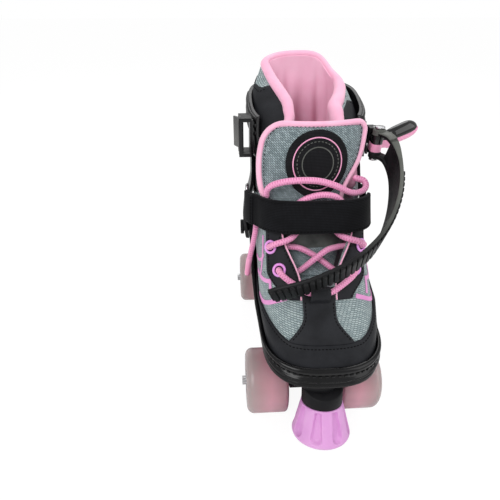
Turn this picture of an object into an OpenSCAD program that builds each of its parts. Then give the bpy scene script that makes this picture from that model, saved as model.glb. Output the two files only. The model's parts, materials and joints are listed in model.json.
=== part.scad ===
// Boot-type quad roller skate: sewn boot in a plastic shell, hinged cuff, lever buckle, two steering trucks.
// The floor is z = 0, the toe points to -Y, and the origin is midway between the axles.

/* [Wheels] */
// Diameter of a wheel
wheel_d = 54; // [50:1:58]
// Width of a wheel
wheel_w = 33; // [31:1:35]
// Width over the outer faces of a pair of wheels
track_w = 108; // [106:1:114]
// Distance between the two axles
wheelbase = 144; // [140:1:150]
// Diameter of the core that the tyre is cast on
core_d = 32; // [28:1:36]
// Radius of the tyre's rounded shoulders
shoulder_r = 6; // [3:0.5:8]

/* [Bearings and axles] */
// Diameter of an axle
axle_d = 8; // [7:0.5:9]
// Outer diameter of a bearing
bearing_d = 22; // [20:0.5:24]
// Width of a bearing
bearing_w = 7; // [6:0.5:8]
// Depth of the outer bearing under the wheel's face
bearing_depth = 8; // [7:0.5:9]
// Width across the flats of an axle nut
nut_flats = 13; // [12:0.5:14]
// Length of axle that stands out past its nut
axle_stub = 3; // [2:0.5:5]

/* [Trucks] */
// Diameter of a kingpin
kingpin_d = 8; // [7:0.5:9]
// Distance from an axle to its kingpin
kingpin_reach = 22; // [21:0.5:24]
// Distance from an axle to its pivot ball
pivot_reach = 2; // [1:0.5:3]
// Height of the truck's yoke over the axle
yoke_rise = 7; // [6:0.5:9]
// Thickness of the yoke
yoke_t = 8; // [7:0.5:9]
// Diameter of the yoke
yoke_d = 23; // [22:0.5:24]
// Diameter of the pivot ball
pivot_ball_d = 8; // [7:0.5:8.5]
// Diameter of the cushions
cushion_d = 20; // [18:0.5:21]
// Height of the lower cushion
cushion_h = 9; // [8:0.5:10]

/* [Plate and toe stop] */
// Thickness of the base plate
plate_t = 6; // [5:0.5:7]
// Width of the base plate
plate_w = 34; // [30:1:36]
// Room between the wheels and the shell
wheel_room = 6; // [6:0.5:9]
// Diameter of the toe stop at its foot
stop_foot_d = 44.5; // [42:0.5:45]
// Diameter of the toe stop at its top
stop_top_d = 31.6; // [31:0.2:33]
// Diameter of the toe stop's collar
stop_collar_d = 30.6; // [29:0.2:31]
// Height of the rubber toe stop
stop_h = 30; // [27:0.5:31]
// Length of the collar above the toe stop
stop_collar_h = 15; // [14:0.5:16]
// Forward tilt of the toe stop
stop_tilt = 23; // [22:0.5:25]
// Number of flutes around the toe stop
stop_flutes = 8; // [6:1:10]
// Diameter of the toe stop's bolt
stop_bolt_d = 8; // [7:0.5:9]

/* [Boot] */
// Length of the boot from toe to heel
boot_length = 198; // [194:1:203]
// Width of the boot at the ball of the foot
boot_width = 88; // [85:0.5:90]
// Height of the boot from its sole to the back of its rim
boot_height = 180; // [174:1:186]
// Thickness of the upper's wall
upper_t = 2.5; // [2:0.1:2.8]
// Thickness of the sewn overlays
overlay_t = 1.6; // [1.2:0.1:1.8]
// Thickness of the padded liner
liner_t = 7; // [5:0.5:8]
// Thickness of the insole
insole_t = 4; // [3:0.5:5]
// Thickness of the padded tongue
tongue_t = 6.5; // [5:0.5:7]
// Half width of the tongue at its top
tongue_half_w = 35.5; // [33:0.5:37]
// Diameter of the tongue's round patch
patch_d = 43; // [38:0.5:46]
// Diameter of the lace
lace_d = 4.4; // [4:0.1:4.6]

/* [Shell and cuff] */
// Thickness of the sole shell
shell_t = 3; // [2.5:0.1:3.4]
// Thickness of the cuff
cuff_t = 2.8; // [2.4:0.1:3]
// Diameter of the cuff's pivot bolts
cuff_bolt_d = 8; // [7:0.5:9]
// Diameter of the pivot bolts' heads
cuff_bolt_head_d = 13; // [12:0.5:14]

/* [Straps and buckle] */
// Thickness of the instep strap
instep_strap_t = 2.2; // [1.8:0.1:2.4]
// Diameter of the strap ring's wire
ring_wire_d = 2.6; // [2.2:0.1:3]
// Width of the ladder strap
ladder_w = 20; // [18:0.5:21]
// Thickness of the ladder strap between its teeth
ladder_t = 2.6; // [2.2:0.1:3]
// Height of a tooth
tooth_h = 1.2; // [0.8:0.1:1.4]
// Number of teeth on the ladder strap
tooth_count = 32; // [28:1:34]
// Length of the lever past its hinge
lever_length = 34; // [32:0.5:36]
// Height of the lever's handle
lever_h = 13; // [12:0.5:14]
// Diameter of the lever's hinge pin
lever_pin_d = 4; // [3.5:0.1:4.4]
// Diameter of the rivet between lever and ladder strap
rivet_d = 4; // [3.5:0.1:4.4]

/* [Hidden] */
$fn = 48;

// Clearances
run_gap = 0.05;
press_gap = 0.02;
layer_gap = 0.4;
part_gap = 0.3;

// Heights and stations worked out from the sizes above
axle_z = wheel_d / 2;
shell_z = wheel_d + wheel_room;
sole_z = shell_z + shell_t;
plate_z = shell_z - plate_t;
wheel_x = track_w / 2 - wheel_w / 2;
wheel_in = track_w / 2 - wheel_w;
hub_w = 8;
ring_wall = 2;
seat_in = 1.5;
inner_seat_x = wheel_in + seat_in;
outer_seat_x = track_w / 2 - bearing_depth - bearing_w;
washer_t = 1.2;
nut_t = 7;
nut_x = outer_seat_x + bearing_w + washer_t;
axle_x = nut_x + nut_t + axle_stub;
inner_ring_d = axle_d + 2 * ring_wall;
hanger_r = 8;
hanger_x = wheel_in - 4;
yoke_z = axle_z + yoke_rise;
pivot_z = plate_z - 9;
cup_wall = 2.2;
cup_d = pivot_ball_d + 2 * cup_wall;
pad_h = plate_z - (yoke_z + yoke_t / 2 + cushion_h + 2);
kingpin_nut_z = yoke_z - yoke_t / 2 - cushion_h - 2;
kingpin_nut_t = 6;

// Points on the reference last, from the sole up to the rim: front y and z, back y and z, half width,
// shift to the side, share of the length behind the widest line, heel taper, front and back squareness
last_length = 198;
last_width = 88;
last_height = 180;
last = [
    [-101, 0, 93, 0, 38.8, 4.7, 0.78, 0.22, 2.7, 2.8],
    [-100, 6, 95, 7, 40.2, 4.8, 0.78, 0.2, 2.7, 2.8],
    [-96, 13, 96, 16, 41.4, 4.4, 0.78, 0.18, 2.7, 2.8],
    [-88, 24, 97, 25, 42.8, 3.6, 0.77, 0.17, 2.7, 2.8],
    [-75, 34, 97, 34, 44, 2.8, 0.74, 0.15, 2.8, 2.8],
    [-60, 47, 97, 43, 43.8, 2.3, 0.68, 0.12, 3.2, 2.8],
    [-47, 61, 97, 53, 42.8, 1.2, 0.6, 0.08, 3.8, 2.8],
    [-37, 76, 96, 64, 42, 0.5, 0.54, 0.05, 4, 2.8],
    [-29, 91, 95, 77, 41.5, 0, 0.5, 0.03, 4, 2.8],
    [-20, 105, 94, 92, 41, 0, 0.5, 0.02, 3.8, 2.8],
    [-10, 117, 93, 109, 40.5, -0.5, 0.5, 0, 3.5, 2.8],
    [0, 127, 92, 127, 40.5, -1, 0.5, 0, 3.2, 2.8],
    [9, 136, 91, 147, 41, -1.5, 0.52, 0, 3, 2.6],
    [16, 143, 90, 167, 40, -1.5, 0.52, 0, 2.8, 2.5],
    [20, 147, 87, 180, 31.5, 0.5, 0.5, 0, 2.6, 2.4]
];
grade_x = boot_width / last_width;
grade_y = boot_length / last_length;
grade_z = boot_height / last_height;

// Small helpers
function mix(a, b, k) = a + (b - a) * k;
function limit(k) = min(1, max(0, k));
function ease(k) = let (c = limit(k)) c * c * (3 - 2 * c);
function unit(v) = v / norm(v);
function round_off(c, n) = sign(c) * pow(abs(c), 2 / n);
function curve(p, s) =
    let (n = len(p) - 1, i = min(n - 1, floor(s)), k = s - i,
         a = p[max(0, i - 1)], b = p[i], c = p[i + 1], d = p[min(n, i + 2)])
    0.5 * (2 * b + (c - a) * k + (2 * a - 5 * b + 4 * c - d) * k * k + (3 * b - a - 3 * c + d) * k * k * k);
function flat(rows) = [for (r = rows) each r];

// A point on the boot: station t up the last, angle th around it (0 in front, 90 to +X, 180 behind)
function boot(t, th, off = 0) =
    let (r = curve(last, t),
         front = [r[0] * grade_y, sole_z + r[1] * grade_z],
         back = [r[2] * grade_y, sole_z + r[3] * grade_z],
         reach = norm(front - back), dir = (front - back) / reach,
         w = r[4] * grade_x, ahead = cos(th) >= 0,
         g = round_off(cos(th), ahead ? r[8] : r[9]),
         v = r[6] * reach + ((ahead ? 1 - r[6] : r[6]) * reach + off) * g,
         x = (w * (1 + (ahead ? 0 : r[7] * g)) + off) * round_off(sin(th), ahead ? r[8] : r[9]),
         p = back + dir * v)
    [r[5] * grade_x + x, p[0], p[1]];

// The angle at which the boot's front half passes a given x
function angle_at(t, x) =
    let (r = curve(last, t), s = (x - r[5] * grade_x) / (r[4] * grade_x))
    asin(sign(s) * pow(min(1, abs(s)), r[8] / 2));
function on_boot(t, x, off = 0) = boot(t, angle_at(t, x), off);
function stand(t, x, height) = on_boot(t, x) + height * boot_normal(t, angle_at(t, x));
function boot_normal(t, th) =
    unit(cross(boot(t, th + 1) - boot(t, th - 1), boot(t + 0.05, th) - boot(t - 0.05, th)));

// A closed sheet between an outer and an inner grid of points: rows go up, columns go round
module sheet(outer, inner, closed = false) {
    m = len(outer);
    n = len(outer[0]);
    last_col = closed ? n - 1 : n - 2;
    function a(i, j) = i * n + j % n;
    function b(i, j) = m * n + i * n + j % n;
    skin = [for (i = [0 : m - 2], j = [0 : last_col]) each [
        [a(i, j), a(i + 1, j), a(i + 1, j + 1)], [a(i, j), a(i + 1, j + 1), a(i, j + 1)],
        [b(i, j), b(i + 1, j + 1), b(i + 1, j)], [b(i, j), b(i, j + 1), b(i + 1, j + 1)]]];
    rims = [for (j = [0 : last_col]) each [
        [a(m - 1, j), b(m - 1, j), b(m - 1, j + 1)], [a(m - 1, j), b(m - 1, j + 1), a(m - 1, j + 1)],
        [a(0, j), b(0, j + 1), b(0, j)], [a(0, j), a(0, j + 1), b(0, j + 1)]]];
    ends = closed ? [] : [for (i = [0 : m - 2]) each [
        [a(i, 0), b(i, 0), b(i + 1, 0)], [a(i, 0), b(i + 1, 0), a(i + 1, 0)],
        [a(i, n - 1), b(i + 1, n - 1), b(i, n - 1)], [a(i, n - 1), a(i + 1, n - 1), b(i + 1, n - 1)]]];
    polyhedron(concat(flat(outer), flat(inner)), concat(skin, rims, ends));
}

// A solid through a list of closed rings, capped at the first and the last
module loft(rings) {
    m = len(rings);
    n = len(rings[0]);
    function p(i, j) = i * n + j % n;
    walls = [for (i = [0 : m - 2], j = [0 : n - 1]) each [
        [p(i, j), p(i + 1, j), p(i + 1, j + 1)], [p(i, j), p(i + 1, j + 1), p(i, j + 1)]]];
    foot = [for (j = [1 : n - 2]) [p(0, 0), p(0, j), p(0, j + 1)]];
    head = [for (j = [1 : n - 2]) [p(m - 1, 0), p(m - 1, j + 1), p(m - 1, j)]];
    polyhedron(flat(rings), concat(walls, foot, head));
}

// A round wire along a closed flat list of points
module hoop(path, d, sides = 8) {
    m = len(path);
    n = unit(cross(path[1] - path[0], path[3] - path[0]));
    function ring(i) =
        let (t = unit(path[(i + 1) % m] - path[(i + m - 1) % m]), b = cross(t, n))
        [for (k = [0 : sides - 1]) path[i] + d / 2 * (cos(-k * 360 / sides) * n + sin(-k * 360 / sides) * b)];
    function p(i, j) = (i % m) * sides + j % sides;
    polyhedron(flat([for (i = [0 : m - 1]) ring(i)]), [for (i = [0 : m - 1], j = [0 : sides - 1]) each [
        [p(i, j), p(i + 1, j), p(i + 1, j + 1)], [p(i, j), p(i + 1, j + 1), p(i, j + 1)]]]);
}

// A round tube swept along a list of points
function tangents(p) = [for (i = [0 : len(p) - 1]) unit(p[min(len(p) - 1, i + 1)] - p[max(0, i - 1)])];
function square_to(v, t) = unit(v - t * (v * t));
function carried(ts, first, i = 0, done = []) =
    i == len(ts) ? done
    : carried(ts, first, i + 1, concat(done, [square_to(i == 0 ? first : done[i - 1], ts[i])]));
module tube(path, d, sides = 8) {
    ts = tangents(path);
    start = abs(ts[0][2]) > 0.8 ? [1, 0, 0] : [0, 0, 1];
    ns = carried(ts, start);
    loft([for (i = [0 : len(path) - 1])
        let (b = cross(ts[i], ns[i]))
        [for (k = [0 : sides - 1]) path[i] + d / 2 * (cos(-k * 360 / sides) * ns[i] + sin(-k * 360 / sides) * b)]]);
}
function smooth_path(p, steps) = [for (k = [0 : (len(p) - 1) * steps]) curve(p, k / steps)];

// Places children at a point with their Z axis along a direction
module along(p, dir) {
    translate(p)
        rotate([0, acos(dir[2] / norm(dir)), atan2(dir[1], dir[0])])
            children();
}
module rod(p, q, d) {
    along(p, q - p)
        cylinder(d = d, h = norm(q - p));
}

// Wheels, bearings and axles
function wheel_sign(right) = right ? 1 : -1;
function axle_y(front) = front ? -wheelbase / 2 : wheelbase / 2;
module at_wheel(front, right) {
    translate([0, axle_y(front), axle_z])
        mirror([right ? 0 : 1, 0, 0])
            rotate([0, 90, 0])
                children();
}
module at_axle(front) {
    translate([0, axle_y(front), axle_z])
        mirror([0, front ? 0 : 1, 0])
            children();
}
module tyre(front, right) {
    color([0.8, 0.66, 0.7])
        at_wheel(front, right)
            rotate_extrude()
                difference() {
                    union() {
                        translate([core_d / 2, wheel_in])
                            square([wheel_d / 2 - core_d / 2 - shoulder_r, wheel_w]);
                        translate([core_d / 2, wheel_in + shoulder_r / 2])
                            square([wheel_d / 2 - core_d / 2, wheel_w - 1.5 * shoulder_r]);
                        translate([wheel_d / 2 - shoulder_r, track_w / 2 - shoulder_r])
                            circle(r = shoulder_r);
                        translate([wheel_d / 2 - shoulder_r, wheel_in])
                            square([shoulder_r / 2, shoulder_r]);
                        translate([wheel_d / 2 - shoulder_r / 2, wheel_in + shoulder_r / 2])
                            circle(r = shoulder_r / 2);
                    }
                    translate([0, wheel_in - 1])
                        square([core_d / 2, wheel_w + 2]);
                }
}
core_in = wheel_in + 0.5;
core_out = track_w / 2 - 4;
web_d = bearing_d - 5;
module core(front, right) {
    color([0.93, 0.66, 0.78])
        at_wheel(front, right)
            difference() {
                translate([0, 0, core_in])
                    cylinder(d = core_d - 2 * press_gap, h = core_out - core_in);
                translate([0, 0, core_in - 1])
                    cylinder(d = web_d, h = core_out - core_in + 2);
                translate([0, 0, core_in - 1])
                    cylinder(d = bearing_d, h = inner_seat_x + bearing_w - core_in + 1);
                translate([0, 0, outer_seat_x])
                    cylinder(d = bearing_d, h = core_out);
            }
}
module bearing_pair(front, right) {
    color([0.72, 0.73, 0.75])
        at_wheel(front, right)
            for (x = [inner_seat_x, outer_seat_x])
                translate([0, 0, x])
                    difference() {
                        cylinder(d = bearing_d - 2 * press_gap, h = bearing_w);
                        translate([0, 0, -1])
                            cylinder(d = inner_ring_d + 2 * run_gap, h = bearing_w + 2);
                    }
}
module inner_rings(front) {
    color([0.62, 0.63, 0.65])
        for (right = [false, true])
            at_wheel(front, right)
                difference() {
                    translate([0, 0, inner_seat_x])
                        cylinder(d = inner_ring_d, h = outer_seat_x + bearing_w - inner_seat_x);
                    translate([0, 0, inner_seat_x - 1])
                        cylinder(d = axle_d + 2 * press_gap, h = outer_seat_x);
                }
}
module axle(front) {
    color([0.66, 0.67, 0.69])
        at_wheel(front, true)
            for (right = [0, 1])
                mirror([0, 0, right]) {
                    cylinder(d = axle_d, h = axle_x - axle_stub);
                    cylinder(d = axle_d - 0.6, h = axle_x);
                }
}
module axle_nuts(front) {
    color([0.75, 0.76, 0.78])
        for (right = [false, true])
            at_wheel(front, right)
                difference() {
                    union() {
                        translate([0, 0, nut_x - washer_t])
                            cylinder(d = inner_ring_d + 2, h = washer_t);
                        translate([0, 0, nut_x])
                            cylinder(d = nut_flats / cos(30), h = nut_t, $fn = 6);
                    }
                    translate([0, 0, nut_x - washer_t - 1])
                        cylinder(d = axle_d + 2 * press_gap, h = nut_t + washer_t + 2);
                }
}

// Trucks: hanger with a yoke on the kingpin between two cushions, and a ball in a cup on the plate
neck_d = 6;
yoke_bore_d = kingpin_d + 5;
arm_w = 15;
module truck(front) {
    color([0.1, 0.1, 0.11])
        at_axle(front)
            difference() {
                union() {
                    rotate([0, 90, 0])
                        cylinder(r = hanger_r, h = 2 * hanger_x, center = true);
                    rotate([0, 90, 0])
                        cylinder(d = inner_ring_d, h = 2 * inner_seat_x, center = true);
                    translate([0, kingpin_reach, yoke_rise - yoke_t / 2])
                        cylinder(d = yoke_d, h = yoke_t);
                    rotate([90, 0, 90])
                        linear_extrude(arm_w, center = true)
                            polygon([[0, -hanger_r], [kingpin_reach - cushion_d / 2 - 1, yoke_rise - yoke_t / 2],
                                     [kingpin_reach, yoke_rise - yoke_t / 2],
                                     [kingpin_reach, yoke_rise + yoke_t / 2], [0, hanger_r]]);
                    translate([0, pivot_reach, 0])
                        cylinder(d = neck_d, h = pivot_z - axle_z);
                    translate([0, pivot_reach, pivot_z - axle_z])
                        sphere(d = pivot_ball_d);
                }
                rotate([0, 90, 0])
                    cylinder(d = axle_d + 2 * press_gap, h = 4 * inner_seat_x, center = true);
                translate([0, kingpin_reach, yoke_rise - yoke_t])
                    cylinder(d = yoke_bore_d, h = 2 * yoke_t);
            }
}
module kingpin(front) {
    head_t = 3;
    color([0.7, 0.71, 0.73])
        at_axle(front)
            translate([0, kingpin_reach, -axle_z]) {
                translate([0, 0, kingpin_nut_z - kingpin_nut_t - 2])
                    cylinder(d = kingpin_d, h = shell_z - kingpin_nut_z + kingpin_nut_t + 2);
                translate([0, 0, shell_z - head_t])
                    cylinder(d = kingpin_d + 6, h = head_t);
            }
}
module cushions(front) {
    color([0.86, 0.55, 0.7])
        at_axle(front)
            translate([0, kingpin_reach, -axle_z])
                for (low = [false, true])
                    translate([0, 0, yoke_z])
                        mirror([0, 0, low ? 1 : 0])
                            difference() {
                                translate([0, 0, yoke_t / 2])
                                    cylinder(d1 = cushion_d, d2 = cushion_d - 4, h = cushion_h);
                                cylinder(d = kingpin_d + 2 * part_gap, h = yoke_t + cushion_h + 1);
                            }
}
module kingpin_nuts() {
    color([0.75, 0.76, 0.78])
        for (front = [false, true])
            at_axle(front)
                translate([0, kingpin_reach, kingpin_nut_z - axle_z])
                    difference() {
                        union() {
                            cylinder(d = cushion_d, h = 2);
                            translate([0, 0, -kingpin_nut_t])
                                cylinder(d = nut_flats / cos(30), h = kingpin_nut_t, $fn = 6);
                        }
                        translate([0, 0, -kingpin_nut_t - 1])
                            cylinder(d = kingpin_d + 2 * press_gap, h = kingpin_nut_t + 4);
                    }
}
cup_z = pivot_z - 1;
cup_h = plate_z - 2 - cup_z;
module pivot_cups() {
    color([0.2, 0.2, 0.21])
        for (front = [false, true])
            at_axle(front)
                translate([0, pivot_reach, -axle_z])
                    difference() {
                        translate([0, 0, cup_z])
                            cylinder(d = cup_d - 2 * press_gap, h = cup_h);
                        translate([0, 0, pivot_z])
                            sphere(d = pivot_ball_d + 2 * run_gap);
                        translate([0, 0, cup_z - 1])
                            cylinder(d = pivot_ball_d + 2 * run_gap, h = pivot_z - cup_z + 1);
                    }
}

// Base plate and toe stop
stop_shift = 2.4;
stop_room = 2;
boss_d = cup_d + 4;
stop_y = max(97 * grade_y,
             wheelbase / 2 - pivot_reach + boss_d / 2 + stop_collar_d / 2 / cos(stop_tilt) + stop_room);
stop_top = [stop_shift, -stop_y, plate_z];
plate_front = stop_top[1] + 7;
plate_back = wheelbase / 2 + 9;
module base_plate() {
    color([0.09, 0.09, 0.1])
        difference() {
            union() {
                translate([-plate_w / 2, plate_front, plate_z])
                    cube([plate_w, plate_back - plate_front, plate_t]);
                translate([0, plate_front, plate_z])
                    cylinder(d = plate_w, h = plate_t);
                translate([0, plate_back, plate_z])
                    cylinder(d = plate_w, h = plate_t);
                for (front = [false, true])
                    at_axle(front)
                        translate([0, 0, plate_z - axle_z]) {
                            translate([0, kingpin_reach, -pad_h - 2])
                                cylinder(d = cushion_d, h = pad_h + 2);
                            translate([0, pivot_reach, cup_z + 2 - plate_z])
                                cylinder(d = boss_d, h = plate_z - cup_z - 2);
                        }
            }
            for (front = [false, true])
                at_axle(front)
                    translate([0, 0, -axle_z]) {
                        translate([0, kingpin_reach, 0])
                            cylinder(d = kingpin_d + 2 * press_gap, h = shell_z + 1);
                        translate([0, kingpin_reach, shell_z - 3])
                            cylinder(d = kingpin_d + 6 + 2 * press_gap, h = 4);
                        translate([0, pivot_reach, 0])
                            cylinder(d = cup_d, h = cup_z + cup_h);
                    }
            at_stop()
                translate([0, 0, -plate_t * 2])
                    cylinder(d = stop_bolt_d + 2 * press_gap, h = plate_t * 4);
        }
}
module at_stop() {
    translate(stop_top)
        rotate([180 - stop_tilt, 0, 0])
            children();
}
module toe_stop_holder() {
    color([0.08, 0.08, 0.09])
        difference() {
            at_stop()
                translate([0, 0, -10])
                    cylinder(d = stop_collar_d, h = 10 + stop_collar_h);
            at_stop()
                translate([0, 0, -20])
                    cylinder(d = stop_bolt_d + 2 * press_gap, h = 60);
            translate([-50, -200, plate_z])
                cube([100, 200, 50]);
        }
}
stop_head_d = 15;
stop_head_depth = 9;
stop_head_t = 5;
module toe_stop() {
    edge = 5;
    flute_d = 7;
    flute_tilt = atan((stop_foot_d - stop_top_d) / 2 / (stop_h - edge));
    color([0.9, 0.66, 0.88])
        at_stop()
            translate([0, 0, stop_collar_h])
                difference() {
                    rotate_extrude()
                        union() {
                            polygon([[0, 0], [stop_top_d / 2, 0],
                                     [stop_foot_d / 2, stop_h - edge], [stop_foot_d / 2 - edge, stop_h - edge],
                                     [stop_foot_d / 2 - edge, stop_h], [0, stop_h]]);
                            translate([stop_foot_d / 2 - edge, stop_h - edge])
                                intersection() {
                                    circle(r = edge);
                                    square(edge);
                                }
                        }
                    for (k = [0 : stop_flutes - 1])
                        rotate([0, 0, (k + 0.5) * 360 / stop_flutes])
                            translate([stop_foot_d / 2 + 0.8, 0, stop_h - 9])
                                rotate([0, flute_tilt, 0])
                                    translate([0, 0, -stop_h])
                                        cylinder(d = flute_d, h = stop_h);
                    translate([0, 0, -1])
                        cylinder(d = stop_bolt_d + 2 * press_gap, h = stop_h + 2);
                    translate([0, 0, stop_h - stop_head_depth])
                        cylinder(d = stop_head_d + 2 * part_gap, h = stop_head_depth + 1);
                }
}
module toe_stop_bolt() {
    color([0.7, 0.71, 0.73])
        difference() {
            at_stop() {
                translate([0, 0, -plate_t - 4])
                    cylinder(d = stop_bolt_d, h = plate_t + 4 + stop_collar_h + stop_h - stop_head_depth);
                translate([0, 0, stop_collar_h + stop_h - stop_head_depth])
                    cylinder(d = stop_head_d, h = stop_head_t);
            }
            translate([-50, -200, shell_z])
                cube([100, 200, 50]);
        }
}

// Angles at which the boot's solids are sampled, closer together beside the cuff's pivots
half_angles = [each [0 : 7.5 : 90], each [94 : 4 : 122], each [130 : 10 : 180]];
round_angles = [each half_angles, each [for (k = [len(half_angles) - 2 : -1 : 1]) 360 - half_angles[k]]];
function side_angle(th) = th > 180 ? 360 - th : th;
function angles(from, to, count) = [for (j = [0 : count]) mix(from, to, j / count)];

// Cuff pivot
pivot_t = 5.5;
pivot_th = 104;
cuff_pivot = boot(pivot_t, pivot_th);

// Sole shell: tray under the boot with a heel counter and two ankle uprights
rand_in = 1.5 * layer_gap;
rand_out = rand_in + overlay_t;
shell_in = rand_out + 2 * layer_gap;
shell_out = shell_in + shell_t;
toe_edge_t = 1.9;
heel_edge_t = 5.2;
upright_t = 6.4;
shell_split_y = 5;
function shell_edge(th) =
    let (a = side_angle(th))
    max(mix(toe_edge_t, heel_edge_t, ease((a - 96) / 40)), upright_t - pow((a - pivot_th) / 8, 2));
function shell_ring(share, off) = [for (th = round_angles) boot(share * shell_edge(th), th, off)];
function sole_ring(off, z) = [for (th = round_angles) let (p = boot(0, th, off)) [p[0], p[1], z]];
module sole_shell() {
    lip = 0.5;
    loft([
        sole_ring(shell_out - shell_t, shell_z), sole_ring(shell_out + lip, shell_z + 1),
        sole_ring(shell_out + lip, sole_z),
        shell_ring(0.12, shell_out), shell_ring(0.3, shell_out + lip / 2), shell_ring(0.48, shell_out),
        shell_ring(0.64, shell_out + lip / 2), shell_ring(0.8, shell_out), shell_ring(1, shell_out),
        shell_ring(1, shell_in), shell_ring(0.66, shell_in), shell_ring(0.33, shell_in),
        shell_ring(0.12, shell_in), sole_ring(shell_in, sole_z)
    ]);
}
module toe_shell() {
    color([0.07, 0.07, 0.08])
        intersection() {
            sole_shell();
            translate([-100, -200, 0])
                cube([200, 200 + shell_split_y, 200]);
        }
}
module heel_shell() {
    color([0.08, 0.08, 0.09])
        difference() {
            intersection() {
                sole_shell();
                translate([-100, shell_split_y, 0])
                    cube([200, 200, 200]);
            }
            translate(cuff_pivot)
                rotate([0, 90, 0])
                    cylinder(d = cuff_bolt_d + 2 * press_gap, h = 300, center = true);
        }
}

// Hinged cuff around the ankle, on two bolts through the uprights
cuff_top_t = 12.7;
cuff_wing_t = 13;
cuff_low_t = 6.9;
cuff_front_th = 58;
collar_low_t = 8.7;
cuff_flare = shell_out + 0.9;
function cuff_low(th) =
    let (a = side_angle(th))
    mix(10.5, cuff_low_t, ease((a - 82) / 12)) - 2.1 * exp(-pow((a - pivot_th) / 9, 2));
function cuff_high(th) =
    let (a = side_angle(th))
    cuff_wing_t - (cuff_wing_t - cuff_top_t) * ease((a - 90) / 60);
function cuff_off(t) = layer_gap + cuff_flare * ease((collar_low_t + 0.4 - t) / 2.4);
cuff_rows = 9;
cuff_cols = [each angles(cuff_front_th, 92, 7), each [95 : 3 : 119], each angles(125, 235, 9),
    each [241 : 3 : 265], each angles(268, 360 - cuff_front_th, 7)];
function cuff_grid(extra) = [for (i = [0 : cuff_rows])
    [for (th = cuff_cols)
        let (t = mix(cuff_low(th), cuff_high(th), i / cuff_rows))
        boot(t, th, cuff_off(t) + extra)]];
module cuff() {
    color([0.07, 0.07, 0.08])
        difference() {
            sheet(cuff_grid(cuff_t), cuff_grid(0));
            translate(cuff_pivot)
                rotate([0, 90, 0])
                    cylinder(d = cuff_bolt_d + 2 * run_gap, h = 300, center = true);
        }
}
cuff_side_x = boot(pivot_t, pivot_th, cuff_off(pivot_t) + cuff_t)[0];
cuff_side_in = boot(pivot_t, 360 - pivot_th, cuff_off(pivot_t) + cuff_t)[0];
module cuff_bolts() {
    head_t = 3;
    head_gap = 1.5;
    color([0.12, 0.12, 0.13])
        for (x = [cuff_side_in - head_gap, cuff_side_x + head_gap])
            translate([x, cuff_pivot[1], cuff_pivot[2]])
                rotate([0, x > 0 ? -90 : 90, 0]) {
                    cylinder(d = cuff_bolt_d, h = cuff_t + shell_t + 2.2);
                    translate([0, 0, -head_t])
                        cylinder(d = cuff_bolt_head_d, h = head_t);
                }
}

// Sewn boot: foot part, ankle quarters with the throat, padded collar and liner
throat_t = 5.35;
quarter_top_t = 8.15;
rim_t = 14;
boot_angles = [for (k = [0 : 43]) k * 360 / 44];
function boot_ring(t, off) = [for (th = boot_angles) boot(t, th, off)];
module foot_upper() {
    color([0.5, 0.56, 0.58])
        loft([
            for (t = [each [0 : 0.5 : 5], throat_t]) boot_ring(t, 0),
            for (t = [throat_t, 4.6, 3.8, 2.9, 2, 1.2, 0.4]) boot_ring(t, -upper_t)
        ]);
}
function throat_half_w(t) = mix(12, 24, ease((t - throat_t) / 2.2)) * grade_x;
function throat_angle(t) = angle_at(t, throat_half_w(t) + curve(last, t)[5] * grade_x);
function quarter_grid(off) = [for (i = [0 : 6])
    let (t = mix(throat_t + 0.03, quarter_top_t, i / 6), a = throat_angle(t))
    [for (th = angles(a, 360 - a, 36)) boot(t, th, off)]];
eyelet_spots = [[5.85, 27], [6.72, 32]];
eyelet_bore_d = lace_d + 0.8;
eyelet_wall = 0.7;
module at_eyelets(off) {
    for (spot = eyelet_spots, side = [-1, 1])
        let (th = angle_at(spot[0], side * spot[1]))
            along(boot(spot[0], th) + off * boot_normal(spot[0], th), boot_normal(spot[0], th))
                children();
}
module ankle_quarters() {
    color([0.47, 0.53, 0.55])
        difference() {
            sheet(quarter_grid(0), quarter_grid(-upper_t));
            at_eyelets(0)
                cylinder(d = eyelet_bore_d + 2 * eyelet_wall + 2 * part_gap, h = 12, center = true);
        }
}
function collar_front(t) = mix(68, 30, ease((t - 9.4) / 4.6));
collar_rows = [collar_low_t, 9.6, 10.5, 11.4, 12.2, 13, 13.6, rim_t];
function collar_grid(off) = [for (t = collar_rows)
    [for (th = angles(collar_front(t), 360 - collar_front(t), 30)) boot(t, th, off)]];
module collar() {
    color([0.13, 0.13, 0.14])
        sheet(collar_grid(0), collar_grid(-upper_t));
}
module liner() {
    rim_share = 0.45;
    function depth(t) = upper_t + part_gap + liner_t * mix(1, rim_share, ease((t - 12) / 2));
    inner = [for (t = collar_rows)
        [for (th = angles(collar_front(t), 360 - collar_front(t), 30)) boot(t, th, -depth(t))]];
    color([0.96, 0.71, 0.83])
        sheet(collar_grid(-upper_t - part_gap), inner);
}
module insole() {
    edge = upper_t + 2;
    color([0.92, 0.7, 0.8])
        translate([0, 0, max(boot(0.4, 0)[2], boot(0.4, 180)[2]) + part_gap])
            linear_extrude(insole_t)
                polygon([for (th = boot_angles) let (p = boot(0.4, th, -edge)) [p[0], p[1]]]);
}

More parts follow.
